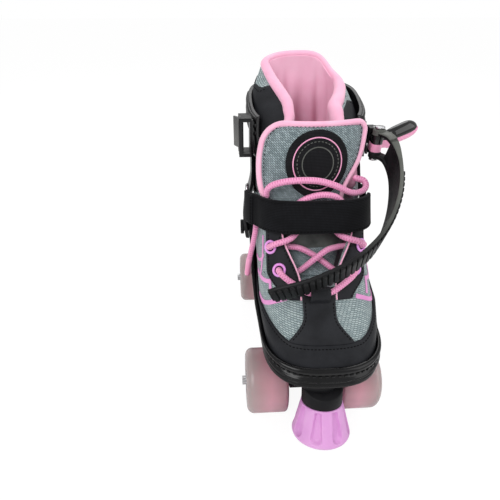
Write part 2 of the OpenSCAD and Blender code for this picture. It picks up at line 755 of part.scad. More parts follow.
// Overlays on the upper
rand_top_t = 3;
function rand_edge(th) = rand_top_t + 0.9 * ease((side_angle(th) - 25) / 50);
function rand_ring(share, off) = [for (th = boot_angles) boot(mix(0.05, rand_edge(th), share), th, off)];
module toe_rand() {
    color([0.13, 0.13, 0.14])
        sheet([for (k = [0 : 0.125 : 1]) rand_ring(k, rand_out)],
              [for (k = [0 : 0.125 : 1]) rand_ring(k, rand_in)], closed = true);
}
strip_top_t = 5.28;
function strip_half_w(t) = mix(25, 11.5, ease((t - 2.6) / 1.7)) * grade_x;
function strip_grid(off) = [for (i = [0 : 6])
    let (t = mix(rand_top_t + 0.06, strip_top_t, i / 6))
    [for (j = [-3 : 3]) on_boot(t, strip_half_w(t) * j / 3, off)]];
module vamp_strip() {
    color([0.13, 0.13, 0.14])
        sheet(strip_grid(rand_out), strip_grid(rand_in));
}
function stay_in(t) = max(12.5 * grade_x, throat_half_w(max(t, throat_t)) + 0.4);
function stay_out(t) = mix(24, 35, ease((t - 4.75) / 0.9)) * grade_x;
function stay_grid(side, off) = [for (i = [0 : 7])
    let (t = mix(4.8, quarter_top_t - 0.1, i / 7))
    [for (j = [0 : 4])
        let (k = side > 0 ? j / 4 : 1 - j / 4)
        on_boot(t, side * mix(stay_in(t), stay_out(t), k), off)]];
module eyestays() {
    color([0.13, 0.13, 0.14])
        difference() {
            union()
                for (side = [-1, 1])
                    sheet(stay_grid(side, rand_out), stay_grid(side, rand_in));
            at_eyelets(0)
                cylinder(d = eyelet_bore_d + 2 * eyelet_wall + 2 * part_gap, h = 12, center = true);
        }
}
module eyelets() {
    flange_t = 1;
    color([0.92, 0.62, 0.9])
        at_eyelets(rand_out + part_gap)
            difference() {
                union() {
                    cylinder(d = eyelet_bore_d + 2 * eyelet_wall + 2.6, h = flange_t);
                    translate([0, 0, -upper_t - overlay_t])
                        cylinder(d = eyelet_bore_d + 2 * eyelet_wall, h = upper_t + overlay_t + flange_t);
                }
                cylinder(d = eyelet_bore_d, h = 20, center = true);
            }
}

// Tongue and its patch: front face points along the middle, y and z above the sole, half width and side shift
tongue_line = [[-44, 52, 13, 0], [-39, 58, 16, 0], [-30, 72.5, 22, -2], [-22, 89, 24, -5], [-16.5, 105, 29, -9.5],
    [-10, 123, 33, -7], [-4, 139, 34.5, -2.5], [-1, 147, 34, -1.5]];
tongue_curl = 9;
tongue_rows = 14;
function tongue_row(k) = let (s = curve(tongue_line, k * (len(tongue_line) - 1)))
    [s[0] * grade_y, sole_z + s[1] * grade_z, s[2] * tongue_half_w / 35.5, s[3]];
function tongue_at(k, x, deep) =
    let (r = tongue_row(k), up = tongue_row(min(1, k + 0.01)) - tongue_row(max(0, k - 0.01)),
         n = unit([0, -up[1], up[0]]))
    [x, r[0] + tongue_curl * pow((x - r[3]) / tongue_half_w, 2), r[1]] - n * deep;
function tongue_grid(deep) = [for (i = [0 : tongue_rows])
    let (k = i / tongue_rows, r = tongue_row(k))
    [for (j = [-5 : 5]) tongue_at(k, r[3] + j / 5 * r[2], deep)]];
module tongue() {
    color([0.5, 0.56, 0.58])
        sheet(tongue_grid(0), tongue_grid(tongue_t));
}
patch_k = 0.715;
patch_t = 1.4;
module tongue_patch() {
    low = tongue_row(patch_k - 0.1);
    high = tongue_row(patch_k + 0.1);
    span = norm([high[0] - low[0], high[1] - low[1]]) / 0.2;
    function spot(ring, th, deep) =
        tongue_at(patch_k + ring * patch_d / 2 * cos(th) / span, ring * patch_d / 2 * sin(th), deep);
    function disc(deep) = [for (ring = [1, 0.66, 0.33, 0.02])
        [for (th = [0 : 15 : 345]) spot(ring, th, deep)]];
    color([0.1, 0.1, 0.11])
        loft([each [for (k = [3 : -1 : 0]) disc(-part_gap)[k]], each disc(-part_gap - patch_t)]);
}

// Laces: points are station, x and height over the boot's surface for the rungs, and millimetres for the rest
rung_paths = [
    [[5.85, -27, -1.5], [5.85, -27, 3.2], [5.8, -26.2, 5.8], [5.55, -22.5, 7], [5.2, -14, 6], [5.02, -8, 4.8],
     [5, 0, 4.8], [5.02, 8, 4.8], [5.2, 14, 6], [5.55, 22.5, 7], [5.8, 26.2, 5.8], [5.85, 27, 3.2], [5.85, 27, -1.5]],
    [[5.8, -16.5, -5], [6, -10, -4.4], [6.35, -2, 0.4], [6.7, 7, 0.6], [6.8, 15, -3.4], [6.82, 23.5, -5]],
    [[5.8, 16.5, -5], [6.15, 8, -5], [6.5, -1, -5], [6.8, -12, -5], [6.85, -23.5, -5]],
    [[6.72, -32, -1.5], [6.72, -32, 3.2], [6.76, -31.2, 5.8], [6.95, -27, 6.8], [7.12, -21.5, 4.4], [7.3, -17, 0],
     [7.6, -13, -3.6], [8, -11, -4]],
    [[6.72, 32, -1.5], [6.72, 32, 3.2], [6.76, 31.2, 5.8], [6.95, 27, 6.8], [7.12, 21.5, 4.4], [7.3, 17, 0],
     [7.6, 13, -3.6], [8, 11, -4]]
];
over_path = [[-14, -22.5, 163], [-8, -23, 167], [2, -23, 169.5], [12, -22.5, 168], [18, -21.5, 163.5]];
module lace_rungs() {
    color([0.96, 0.6, 0.78])
        for (p = rung_paths)
            tube(smooth_path([for (q = p) stand(q[0], q[1], q[2])], 3), lace_d);
    color([0.96, 0.6, 0.78])
        tube(smooth_path(over_path, 3), lace_d);
}
loop_path = [[-35.5, -14, 166], [-35.5, -15.5, 170.5], [-31.5, -18, 175.5], [-20, -20.5, 179], [-2, -21, 179],
    [12, -20.5, 175], [25, -18, 168.5], [34, -14, 167.5], [38, -10, 169.5], [36.5, -6.5, 172.5], [31, -4.5, 173.5]];
module lace_loop() {
    color([0.96, 0.6, 0.78])
        tube(smooth_path(loop_path, 2), lace_d);
}
tail_path = [boot(7.9, -67, 2.6), boot(7.45, -69, 2.6), boot(7, -71, 2.8), [-44.5, -12.8, 128], [-46.5, -13, 118],
    [-48.5, -13, 107], [-49.6, -13, 96]];
module lace_tail() {
    color([0.96, 0.6, 0.78])
        tube(smooth_path(tail_path, 2), lace_d);
}
keeper_w = 14;
module lace_keeper() {
    mid_t = 5;
    foot = rand_out + part_gap;
    room = rand_out + lace_d + 1.2;
    wall = 1.4;
    outside = [[-0.36, foot], [-0.25, room - 0.6], [0, room + wall], [0.2, room - 0.6], [0.27, foot]];
    inside = [[-0.27, foot], [-0.19, room - 1.6], [0, room], [0.15, room - 1.6], [0.19, foot]];
    function arch(line) = [for (p = line)
        [for (k = [-1, -0.5, 0, 0.5, 1]) stand(mid_t + p[0], k * keeper_w / 2, p[1])]];
    color([0.1, 0.1, 0.11])
        sheet(arch(outside), arch(inside));
}

// Instep strap with its ring and the tab that holds the ring
strap_low_t = 7.5;
strap_high_t = 8.85;
strap_off = rand_out + 1.2;
strap_rows = [strap_low_t, 7.95, 8.4, strap_high_t];
function strap_lift(th) = strap_off + 4 * ease((-th - 52) / 24);
function strap_grid(extra) = [for (t = strap_rows)
    [for (th = angles(-76, 56, 24)) boot(t, th, strap_lift(th) + extra)]];
function anchor_grid(extra) = [for (t = strap_rows)
    [for (th = angles(48, 80, 8)) boot(t, th, layer_gap + extra)]];
module instep_strap() {
    color([0.08, 0.08, 0.09]) {
        sheet(strap_grid(instep_strap_t), strap_grid(0));
        sheet(anchor_grid(instep_strap_t), anchor_grid(0));
    }
}
ring_off = strap_lift(-76) + instep_strap_t / 2;
module strap_ring() {
    front_th = -77.5;
    rear_th = -81.5;
    low_t = strap_low_t - 0.12;
    high_t = strap_high_t + 0.1;
    c = [boot(low_t, front_th, ring_off), boot(high_t, front_th, ring_off),
        boot(high_t, rear_th, ring_off - 1), boot(low_t, rear_th, ring_off - 1)];
    bend = [0.12, 0.88];
    short_bend = [0.3, 0.7];
    path = [for (k = [0 : 3], b = k % 2 == 0 ? bend : short_bend) mix(c[k], c[(k + 1) % 4], b)];
    color([0.72, 0.73, 0.75])
        hoop(path, ring_wire_d);
}
module ring_tab() {
    function tab(extra) = [for (t = [7.65, 8.05])
        [for (th = [-87.5, -86, -84.5, -83]) boot(t, th, mix(layer_gap, ring_off - 2, ease((th + 87) / 4)) + extra)]];
    color([0.08, 0.08, 0.09])
        sheet(tab(instep_strap_t), tab(0));
}

// Lever buckle on the cuff's outer wing
buckle_t = 11.4;
buckle_th = 68;
buckle_seat = boot(buckle_t, buckle_th, cuff_off(buckle_t) + cuff_t);
lever_hinge = buckle_seat + [6.9, -2.5, -1];
rivet_at = lever_hinge + [-0.5, -9.8, 0];
lever_root_h = 11;
fork_gap = lever_root_h + 2 * part_gap;
ear_h = 3;
lever_swing = 8;
module at_lever() {
    translate(lever_hinge)
        rotate([0, 0, lever_swing])
            children();
}
function seat_patch(mid_t, th0, half_t, half_th, extra) = [for (t = [mid_t - half_t, mid_t, mid_t + half_t])
    [for (th = [th0 - half_th : half_th : th0 + half_th]) boot(t, th, cuff_off(t) + cuff_t + extra)]];
module lever_bracket() {
    color([0.09, 0.09, 0.1])
        difference() {
            union() {
                sheet(seat_patch(buckle_t, buckle_th, 0.8, 5, 2.2), seat_patch(buckle_t, buckle_th, 0.8, 5, part_gap));
                for (ear = [[lever_root_h / 2 + part_gap, 9], [-lever_root_h / 2 - part_gap - ear_h, 5]])
                    translate(lever_hinge + [0, 0, ear[0]])
                        linear_extrude(ear_h)
                            union() {
                                circle(d = lever_pin_d + 5);
                                translate([-5, -3])
                                    square([5, ear[1]]);
                            }
                translate(lever_hinge + [-5.2, -3, -2])
                    cube([1.4, 4.2, lever_root_h / 2 + part_gap + ear_h + 2]);
            }
            translate(lever_hinge)
                cylinder(d = lever_pin_d + 2 * press_gap, h = 60, center = true);
        }
}
module lever_pin() {
    color([0.75, 0.76, 0.78])
        translate(lever_hinge - [0, 0, lever_root_h / 2 + part_gap + ear_h])
            cylinder(d = lever_pin_d, h = lever_root_h + 2 * part_gap + 2 * ear_h);
}
handle_t = 7;
handle_rise = 14;
handle_from = 8;
cover_from = 16;
module at_handle() {
    at_lever()
        translate([handle_from, 0, 0])
            rotate([0, -handle_rise, 0])
                translate([-handle_from, 0, 0])
                    children();
}
module lever_profile(grow) {
    polygon([[handle_from + 1, -4 - grow], [14, -5 - grow], [lever_length - handle_t / 2, -2 - grow],
             [lever_length - handle_t / 2, 5 + grow], [14, 3 + grow], [handle_from + 1, 3 + grow]]);
    translate([lever_length - handle_t / 2, 1.5])
        circle(d = handle_t + 2 * grow);
}
module lever() {
    web = [rivet_at[0] - lever_hinge[0], rivet_at[1] - lever_hinge[1]];
    web_side = unit([-web[1], web[0]]);
    color([0.92, 0.6, 0.76])
        difference() {
            union() {
                at_lever()
                    translate([0, 0, -lever_root_h / 2])
                        linear_extrude(lever_root_h)
                            union() {
                                circle(d = lever_pin_d + 3);
                                polygon([[0, -3.5], [12, -4.5], [12, 3], [0, 3.5]]);
                            }
                at_handle()
                    translate([0, 0, -lever_h / 2])
                        linear_extrude(lever_h / 2)
                            lever_profile(0);
                translate(rivet_at - [0, 0, lever_root_h / 2])
                    cylinder(d = rivet_d + 4, h = lever_root_h);
                translate(lever_hinge - [0, 0, lever_root_h / 2])
                    linear_extrude(lever_root_h)
                        polygon([3.4 * web_side, web + 3.9 * web_side, web - 3.9 * web_side, -3.4 * web_side]);
            }
            translate(lever_hinge)
                cylinder(d = lever_pin_d + 2 * run_gap, h = 60, center = true);
            translate(rivet_at)
                cylinder(d = rivet_d + 2 * press_gap, h = 60, center = true);
        }
}
module lever_cover() {
    color([0.06, 0.06, 0.07])
        at_handle()
            translate([0, 0, press_gap])
                linear_extrude(lever_h / 2 - press_gap)
                    difference() {
                        lever_profile(0.3);
                        translate([0, -20])
                            square([cover_from, 40]);
                    }
}
module strap_rivet() {
    head_t = 1.4;
    stack = ladder_w / 2 + part_gap;
    color([0.8, 0.8, 0.82])
        translate(rivet_at)
            for (z = [0, 1])
                mirror([0, 0, z]) {
                    cylinder(d = rivet_d, h = stack);
                    translate([0, 0, stack])
                        cylinder(d = rivet_d + 3, h = head_t);
                }
}

// Ladder strap: its middle line from the rivet, and its outward direction at the root and at the tip
ladder_line = [[0, 0, 0], [5.5, -9, -1.5], [7.5, -20, -8], [6.5, -33, -17], [2, -47, -27], [-6, -60.5, -37],
    [-17, -71.5, -45.5], [-31, -79, -53], [-47, -83, -59.5], [-63, -85, -65], [-84, -84, -71.5]];
ladder_out_root = [1, 0.1, 0.05];
ladder_out_tip = [-0.1, -0.87, -0.5];
ladder_steps = 96;
tooth_from = 0.27;
fork_to = 10;
module ladder_strap() {
    path = [for (k = [0 : ladder_steps]) rivet_at + curve(ladder_line, k / ladder_steps * (len(ladder_line) - 1))];
    ts = tangents(path);
    function half_w(s) = ladder_w / 2 * (1 - 0.12 * (1 - ease(s / 0.12)) - 0.35 * ease((s - 0.94) / 0.06));
    function tooth(s) = s < tooth_from || s > 0.98 ? 0
        : tooth_h * (1 - abs(2 * ((s - tooth_from) * tooth_count / (0.98 - tooth_from)) % 2 - 1));
    function ring(k, half, under, over) =
        let (s = k / ladder_steps, t = ts[k],
             n = square_to(mix(ladder_out_root, ladder_out_tip, ease((s - 0.2) / 0.5)), t), b = cross(n, t))
        [path[k] - b * half - n * under, path[k] + b * half - n * under,
         path[k] + b * half + n * over, path[k] - b * half + n * over];
    function root_half(s) = mix(rivet_d / 2 + 1.5, ladder_t / 2, ease((s - 0.02) / 0.22));
    color([0.09, 0.09, 0.1])
        difference() {
            union() {
                difference() {
                    loft([for (k = [1 : ladder_steps])
                        let (s = k / ladder_steps) ring(k, half_w(s), root_half(s), root_half(s) + tooth(s))]);
                    loft([for (k = [0 : fork_to]) ring(k, fork_gap / 2 + 1, 8, 8)]);
                }
                for (z = [fork_gap / 2, -ladder_w / 2])
                    translate(rivet_at + [0, 0, z])
                        cylinder(d = rivet_d + 5, h = (ladder_w - fork_gap) / 2);
            }
            translate(rivet_at)
                cylinder(d = rivet_d + 2 * run_gap, h = 60, center = true);
        }
}

// Catch on the cuff's inner wing, with a pawl on two trunnions
catch_t = 11.7;
catch_th = 294;
catch_seat = boot(catch_t, catch_th, cuff_off(catch_t) + cuff_t);
catch_slot = ladder_w + 1.5;
catch_wall = 2.5;
catch_pin_d = 2.4;
catch_hinge = catch_seat + [-10, -4, 0];
module catch_body() {
    color([0.08, 0.08, 0.09])
        difference() {
            union() {
                sheet(seat_patch(catch_t, catch_th, 0.95, 5, 3), seat_patch(catch_t, catch_th, 0.95, 5, part_gap));
                translate(catch_seat + [-11, -11, -catch_slot / 2 - catch_wall])
                    cube([9, 15, catch_slot + 2 * catch_wall]);
            }
            translate(catch_seat + [-8.4, -20, -catch_slot / 2])
                cube([5.2, 40, catch_slot]);
            translate(catch_seat + [-12, -7, -catch_slot / 2])
                cube([4, 20, catch_slot]);
            translate(catch_hinge)
                cylinder(d = catch_pin_d + 2 * run_gap, h = catch_slot + 2 * catch_wall + 2, center = true);
        }
}
module catch_tab() {
    color([0.3, 0.31, 0.31])
        translate(catch_hinge) {
            linear_extrude(catch_slot - 2 * part_gap, center = true)
                polygon([[-1.5, -1.8], [1.5, -1.8], [2.6, 2], [1.5, 6], [-0.5, 10], [-3.5, 13.5], [-4.6, 12.6], [-1.5, 7]]);
            cylinder(d = catch_pin_d, h = catch_slot + 2 * catch_wall, center = true);
        }
}

base_plate();
toe_stop_holder();
toe_stop();
toe_stop_bolt();
truck(true);  // truck_front
truck(false);  // truck_rear
axle(true);  // axle_front
axle(false);  // axle_rear
kingpin(true);  // kingpin_front
kingpin(false);  // kingpin_rear
cushions(true);  // cushions_front
cushions(false);  // cushions_rear
kingpin_nuts();
pivot_cups();
tyre(true, false);  // tyre_fl
tyre(true, true);  // tyre_fr
tyre(false, false);  // tyre_rl
tyre(false, true);  // tyre_rr
core(true, false);  // core_fl
core(true, true);  // core_fr
core(false, false);  // core_rl
core(false, true);  // core_rr
bearing_pair(true, false);  // bearings_fl
bearing_pair(true, true);  // bearings_fr
bearing_pair(false, false);  // bearings_rl
bearing_pair(false, true);  // bearings_rr
inner_rings(true);  // inner_rings_front
inner_rings(false);  // inner_rings_rear
axle_nuts(true);  // axle_nuts_front
axle_nuts(false);  // axle_nuts_rear
toe_shell();
heel_shell();
cuff();
cuff_bolts();
collar();
liner();
foot_upper();
ankle_quarters();
toe_rand();
vamp_strip();
insole();
tongue();
tongue_patch();
eyestays();
eyelets();
lace_keeper();
lace_rungs();
lace_loop();
lace_tail();
instep_strap();
strap_ring();
ring_tab();
lever_bracket();
lever();
lever_cover();
lever_pin();
ladder_strap();
strap_rivet();
catch_body();
catch_tab();
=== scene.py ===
# %% [markdown]
# # A boot-type quad roller skate
# The real skate is a sewn boot that sits in a plastic sole shell. A hinged cuff holds the ankle, a lever
# buckle pulls a toothed strap across, and two steering trucks carry four soft wheels. The solids come from
# the CAD model as a fixed frame. This lesson dresses them: cloth, leather, laces and moulded plastic.

# %% Load the frame
import json
import math
import bmesh
import bpy
import numpy as np
from mathutils import Matrix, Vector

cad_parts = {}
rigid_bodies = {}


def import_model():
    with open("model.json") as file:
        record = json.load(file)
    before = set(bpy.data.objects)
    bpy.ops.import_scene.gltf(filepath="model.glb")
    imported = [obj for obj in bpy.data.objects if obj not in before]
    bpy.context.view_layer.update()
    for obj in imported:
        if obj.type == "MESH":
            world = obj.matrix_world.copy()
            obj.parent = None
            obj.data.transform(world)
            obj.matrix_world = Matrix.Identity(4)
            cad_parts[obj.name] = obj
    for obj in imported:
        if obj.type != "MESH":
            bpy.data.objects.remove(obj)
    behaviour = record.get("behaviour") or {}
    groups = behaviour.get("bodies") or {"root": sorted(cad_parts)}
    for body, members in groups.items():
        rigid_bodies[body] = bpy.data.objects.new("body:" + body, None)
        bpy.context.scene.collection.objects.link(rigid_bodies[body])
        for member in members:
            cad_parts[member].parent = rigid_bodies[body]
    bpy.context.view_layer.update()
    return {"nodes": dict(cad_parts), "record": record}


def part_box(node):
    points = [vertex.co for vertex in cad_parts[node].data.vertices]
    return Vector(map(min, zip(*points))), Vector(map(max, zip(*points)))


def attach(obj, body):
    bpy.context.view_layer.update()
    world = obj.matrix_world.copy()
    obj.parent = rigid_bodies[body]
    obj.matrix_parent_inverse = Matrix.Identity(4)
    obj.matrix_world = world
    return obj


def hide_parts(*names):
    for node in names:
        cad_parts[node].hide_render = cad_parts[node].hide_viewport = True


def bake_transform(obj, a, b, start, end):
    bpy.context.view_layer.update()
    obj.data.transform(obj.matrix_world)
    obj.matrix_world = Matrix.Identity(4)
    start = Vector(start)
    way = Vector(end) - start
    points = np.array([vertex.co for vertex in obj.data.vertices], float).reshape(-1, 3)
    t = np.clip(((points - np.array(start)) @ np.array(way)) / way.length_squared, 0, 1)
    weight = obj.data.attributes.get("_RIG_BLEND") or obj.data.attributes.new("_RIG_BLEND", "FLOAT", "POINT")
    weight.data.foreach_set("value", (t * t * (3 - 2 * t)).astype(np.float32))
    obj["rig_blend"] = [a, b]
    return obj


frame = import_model()
scene = bpy.context.scene

# %% [markdown]
# ## Camera and light
# The photograph looks down on the skate from close by, a little from its left. The camera takes that place,
# with a small upward shift because the picture was cropped low. The light is a plain soft studio: a white
# world, a large lamp on the left, a weaker one on the right and a pale floor that keeps the shadow.

# %% Camera
camera = bpy.data.objects.new("camera", bpy.data.cameras.new("camera"))
scene.collection.objects.link(camera)
camera.location = (-0.0605, -0.2525, 0.2752)
camera.rotation_euler = (math.radians(50.03), 0, math.radians(-3.12))
SENSOR, PICTURE_PX, FOCAL_PX, SHIFT_PX = 36, 500, 350.9, 42.5
camera.data.sensor_width = SENSOR
camera.data.lens = SENSOR * FOCAL_PX / PICTURE_PX
camera.data.shift_y = SHIFT_PX / PICTURE_PX
camera.data.clip_start = 0.01
scene.camera = camera
scene.view_settings.view_transform = "Standard"
print("camera at", tuple(round(v, 4) for v in camera.location))


# %% Node helpers
def paint(red, green, blue):
    """A colour as it looks on screen, 0 to 255, turned into the linear one that shaders use."""
    parts = [v / 255 for v in (red, green, blue)]
    return tuple(v / 12.92 if v < 0.04045 else ((v + 0.055) / 1.055) ** 2.4 for v in parts) + (1.0,)


def feed(tree, made, inputs):
    """Links or sets some inputs of a node."""
    for key, value in inputs.items():
        if isinstance(value, bpy.types.NodeSocket):
            tree.links.new(value, made.inputs[key])
        else:
            made.inputs[key].default_value = value
    return made


def node(tree, kind, inputs=None, **settings):
    """Adds a node, sets its options, and links or sets its inputs."""
    made = tree.nodes.new(kind)
    for key, value in settings.items():
        setattr(made, key, value)
    return feed(tree, made, inputs or {})


def maths(tree, operation, *values):
    return node(tree, "ShaderNodeMath", dict(enumerate(values)), operation=operation).outputs[0]


def seen_directly(tree):
    """1 for camera and glass rays, 0 for the rays that light the object or mirror in it."""
    ray = node(tree, "ShaderNodeLightPath").outputs
    return maths(tree, "MAXIMUM", ray["Is Camera Ray"], ray["Is Transmission Ray"])


# %% World, floor and lamps
world = bpy.data.worlds.new("studio")
world.use_nodes = True
scene.world = world
world_tree = world.node_tree
world_tree.nodes.clear()
lit = node(world_tree, "ShaderNodeBackground", {"Color": (1, 1, 1, 1), "Strength": 0.62})
white = node(world_tree, "ShaderNodeBackground", {"Color": (1, 1, 1, 1), "Strength": 1.0})
share = seen_directly(world_tree)
sky = node(world_tree, "ShaderNodeMixShader", {0: share, 1: lit.outputs[0], 2: white.outputs[0]})
node(world_tree, "ShaderNodeOutputWorld", {"Surface": sky.outputs[0]})

floor_mesh = bpy.data.meshes.new("studio_floor")
floor_mesh.from_pydata([(-8, -8, 0), (8, -8, 0), (8, 8, 0), (-8, 8, 0)], [], [(0, 1, 2, 3)])
floor = bpy.data.objects.new("studio_floor", floor_mesh)
scene.collection.objects.link(floor)
pale = bpy.data.materials.new("pale_floor")
pale.use_nodes = True
floor_tree = pale.node_tree
floor_tree.nodes.clear()
matt = node(floor_tree, "ShaderNodeBsdfDiffuse", {"Color": (0.9, 0.9, 0.9, 1)})
glow = node(floor_tree, "ShaderNodeEmission", {"Color": (1, 1, 1, 1), "Strength": 1.05})
share = maths(floor_tree, "MULTIPLY", seen_directly(floor_tree), 0.88)
both = node(floor_tree, "ShaderNodeMixShader", {0: share, 1: matt.outputs[0], 2: glow.outputs[0]})
node(floor_tree, "ShaderNodeOutputMaterial", {"Surface": both.outputs[0]})
floor_mesh.materials.append(pale)


def lamp(name, place, aim, size, watts):
    light = bpy.data.lights.new(name, "AREA")
    light.size = size
    light.energy = watts
    lamp_object = bpy.data.objects.new(name, light)
    scene.collection.objects.link(lamp_object)
    lamp_object.location = place
    way = np.array(aim) - np.array(place)
    lamp_object.rotation_euler = (math.atan2(math.hypot(way[0], way[1]), -way[2]), 0,
                                  math.atan2(way[1], way[0]) - math.pi / 2)


lamp("key_lamp", (-0.7, -0.8, 1.1), (0, 0, 0.12), 0.8, 9)
lamp("fill_lamp", (0.9, -0.5, 0.8), (0, 0, 0.12), 0.9, 4)
lamp("back_lamp", (0.2, 0.9, 1.2), (0, 0, 0.15), 0.8, 5)
print("studio: white world, pale floor, 3 soft lamps")

# %% [markdown]
# ## The last
# A shoemaker sews a boot over a last, and so does this scene. The last is a short table of stations from the
# sole to the rim. Each gives the front and back points, the half width and the middle, where it is widest,
# how it tapers behind, and how square its two ends are. Every sewn piece is then a patch of angles and
# stations with a height over it, so that neighbours always fit.

# %% The last and its surface
SOLE_Z = 63
# Front y and z, back y and z, half width, middle, widest share, taper, squareness ahead and behind
LAST = np.array([
    [-101, 0, 93, 0, 38.8, 4.7, 0.78, 0.22, 2.7, 2.8],
    [-100, 6, 95, 7, 40.2, 4.8, 0.78, 0.2, 2.7, 2.8],
    [-96, 13, 96, 16, 41.4, 4.4, 0.78, 0.18, 2.7, 2.8],
    [-88, 24, 97, 25, 42.8, 3.6, 0.77, 0.17, 2.7, 2.8],
    [-75, 34, 97, 34, 44, 2.8, 0.74, 0.15, 2.8, 2.8],
    [-60, 47, 97, 43, 43.8, 2.3, 0.68, 0.12, 3.2, 2.8],
    [-47, 61, 97, 53, 42.8, 1.2, 0.6, 0.08, 3.8, 2.8],
    [-37, 76, 96, 64, 42, 0.5, 0.54, 0.05, 4, 2.8],
    [-29, 91, 95, 77, 41.5, 0, 0.5, 0.03, 4, 2.8],
    [-20, 105, 94, 92, 41, 0, 0.5, 0.02, 3.8, 2.8],
    [-10, 117, 93, 109, 40.5, -0.5, 0.5, 0, 3.5, 2.8],
    [0, 127, 92, 127, 40.5, -1, 0.5, 0, 3.2, 2.8],
    [9, 136, 91, 147, 41, -1.5, 0.52, 0, 3, 2.6],
    [16, 143, 90, 167, 40, -1.5, 0.52, 0, 2.8, 2.5],
    [20, 147, 87, 180, 33, -1.5, 0.25, 0, 5, 2.4]])


def mix(a, b, k):
    return a + (b - a) * k


def ease(k):
    c = min(1.0, max(0.0, k))
    return c * c * (3 - 2 * c)


def bump(v, middle, half):
    """A smooth hill of height 1 around a middle value."""
    return math.exp(-((v - middle) / half) ** 2)


def unit(v):
    return np.asarray(v, float) / np.linalg.norm(v)


def curve(points, s):
    """A smooth curve through a list of points, s counted in points."""
    n = len(points) - 1
    i = max(0, min(n - 1, math.floor(s)))
    k = s - i
    a, b, c, d = (np.asarray(points[j], float) for j in (max(0, i - 1), i, i + 1, min(n, i + 2)))
    bend = (2 * a - 5 * b + 4 * c - d) * k ** 2 + (3 * b - a - 3 * c + d) * k ** 3
    return 0.5 * (2 * b + (c - a) * k + bend)


def round_off(c, n):
    return math.copysign(abs(c) ** (2 / n), c)


def station(t):
    """The row of the last at a station, with its front and back points in place of their numbers."""
    front_y, front_z, back_y, back_z, *rest = curve(LAST, t)
    return np.array([front_y, SOLE_Z + front_z]), np.array([back_y, SOLE_Z + back_z]), *rest


def boot(t, th, off=0.0):
    """The point at station t and angle th (0 ahead, 90 to the outside), off millimetres over the last."""
    front, back, half, middle, widest, taper, square, square_back = station(t)
    reach = np.linalg.norm(front - back)
    c = math.cos(math.radians(th))
    ahead = c >= 0
    n = square if ahead else square_back
    g = round_off(c, n)
    v = widest * reach + ((1 - widest if ahead else widest) * reach + off) * g
    x = (half * (1 + (0 if ahead else taper * g)) + off) * round_off(math.sin(math.radians(th)), n)
    p = back + (front - back) / reach * v
    return np.array([middle + x, p[0], p[1]])


def ankle(t, th, off=0.0):
    """As boot, for the padded collar, which leans in at both sides of its rim and narrows in front."""
    outer = 5.5 * ease((t - 11.8) / 1.6) * ease((th - 30) / 35) * ease((165 - th) / 45)
    inner = 5 * ease((t - 10.5) / 2) * ease((th - 255) / 50)
    lean = np.array([outer - inner, 0, 0])
    c = math.cos(math.radians(th))
    if c < 0:
        return boot(t, th, off) - lean
    front, back, half, middle, widest, _, square, _ = station(t)
    reach = np.linalg.norm(front - back)
    g = c ** (2 / min(square, 3.2))
    wide = math.copysign(max(0.0, 1 - g ** square) ** (1 / square), math.sin(math.radians(th)))
    p = back + (front - back) / reach * (widest * reach + ((1 - widest) * reach + off) * g)
    x = (half * (1 - 0.3 * ease((t - 12) / 2) * g) + off) * wide
    return np.array([middle + x, p[0], p[1]]) - lean


def boot_normal(t, th):
    return unit(np.cross(boot(t, th + 1) - boot(t, th - 1), boot(t + 0.05, th) - boot(t - 0.05, th)))


def angle_at(t, x):
    """The angle at which the front of a station passes x."""
    _, _, half, middle, _, _, square, _ = station(t)
    s = (x - middle) / half
    return math.degrees(math.asin(math.copysign(min(1, abs(s)) ** (square / 2), s)))


def stand(t, x, height):
    th = angle_at(t, x)
    return boot(t, th) + height * boot_normal(t, th)


print("last: front of the sole at", boot(0, 0), "rim at", boot(14, 180))

# %% [markdown]
# ## Tools for sheets and tubes
# Sewn and moulded pieces are closed sheets between an inner and an outer grid of points. Each gets a UV map
# in millimetres of cloth, so that a weave has the same size everywhere. Rims get a small rounded bevel.
# Laces, bindings and wires are tubes with the same kind of map: around in one direction, along in the other.

# %% Mesh helpers
MM = 0.001


def add_piece(name, points, faces, uvs=None, crease_shades=None):
    """Makes an object from points in millimetres, with a UV for each point."""
    mesh = bpy.data.meshes.new(name)
    mesh.from_pydata([tuple(v * MM for v in p) for p in points], [], faces)
    if uvs is not None:
        layer = mesh.uv_layers.new(name="cloth")
        for loop in mesh.loops:
            layer.data[loop.index].uv = uvs[loop.vertex_index]
    # Each point may carry a painted shade value, which the lining uses for its creases.
    if crease_shades is not None:
        mesh.attributes.new("crease_shade", "FLOAT", "POINT").data.foreach_set("value", crease_shades)
    piece = bpy.data.objects.new(name, mesh)
    scene.collection.objects.link(piece)
    return piece


def settle(piece, sharp=40):
    """Turns an object with modifiers into a plain smooth mesh."""
    bpy.context.view_layer.update()
    depsgraph = bpy.context.evaluated_depsgraph_get()
    made = bpy.data.meshes.new_from_object(piece.evaluated_get(depsgraph))
    piece.modifiers.clear()
    piece.data = made
    made.shade_smooth()
    made.set_sharp_from_angle(angle=math.radians(sharp))
    return piece


def round_edges(piece, width, segments=2, angle=50, sharp=40):
    bevel = piece.modifiers.new("rounded", "BEVEL")
    bevel.width = width * MM
    bevel.segments = segments
    bevel.limit_method = "ANGLE"
    bevel.angle_limit = math.radians(angle)
    return settle(piece, sharp)


def dress(piece, look, body, slot, *nodes):
    """Gives a piece its material and its body, and hides the solids that it stands for. The finish slot is
    not used.
    """
    if look is not None:
        piece.data.materials.clear()
        piece.data.materials.append(look)
    if piece.parent is None and "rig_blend" not in piece:
        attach(piece, body)
    if nodes:
        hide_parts(*nodes)
    return piece


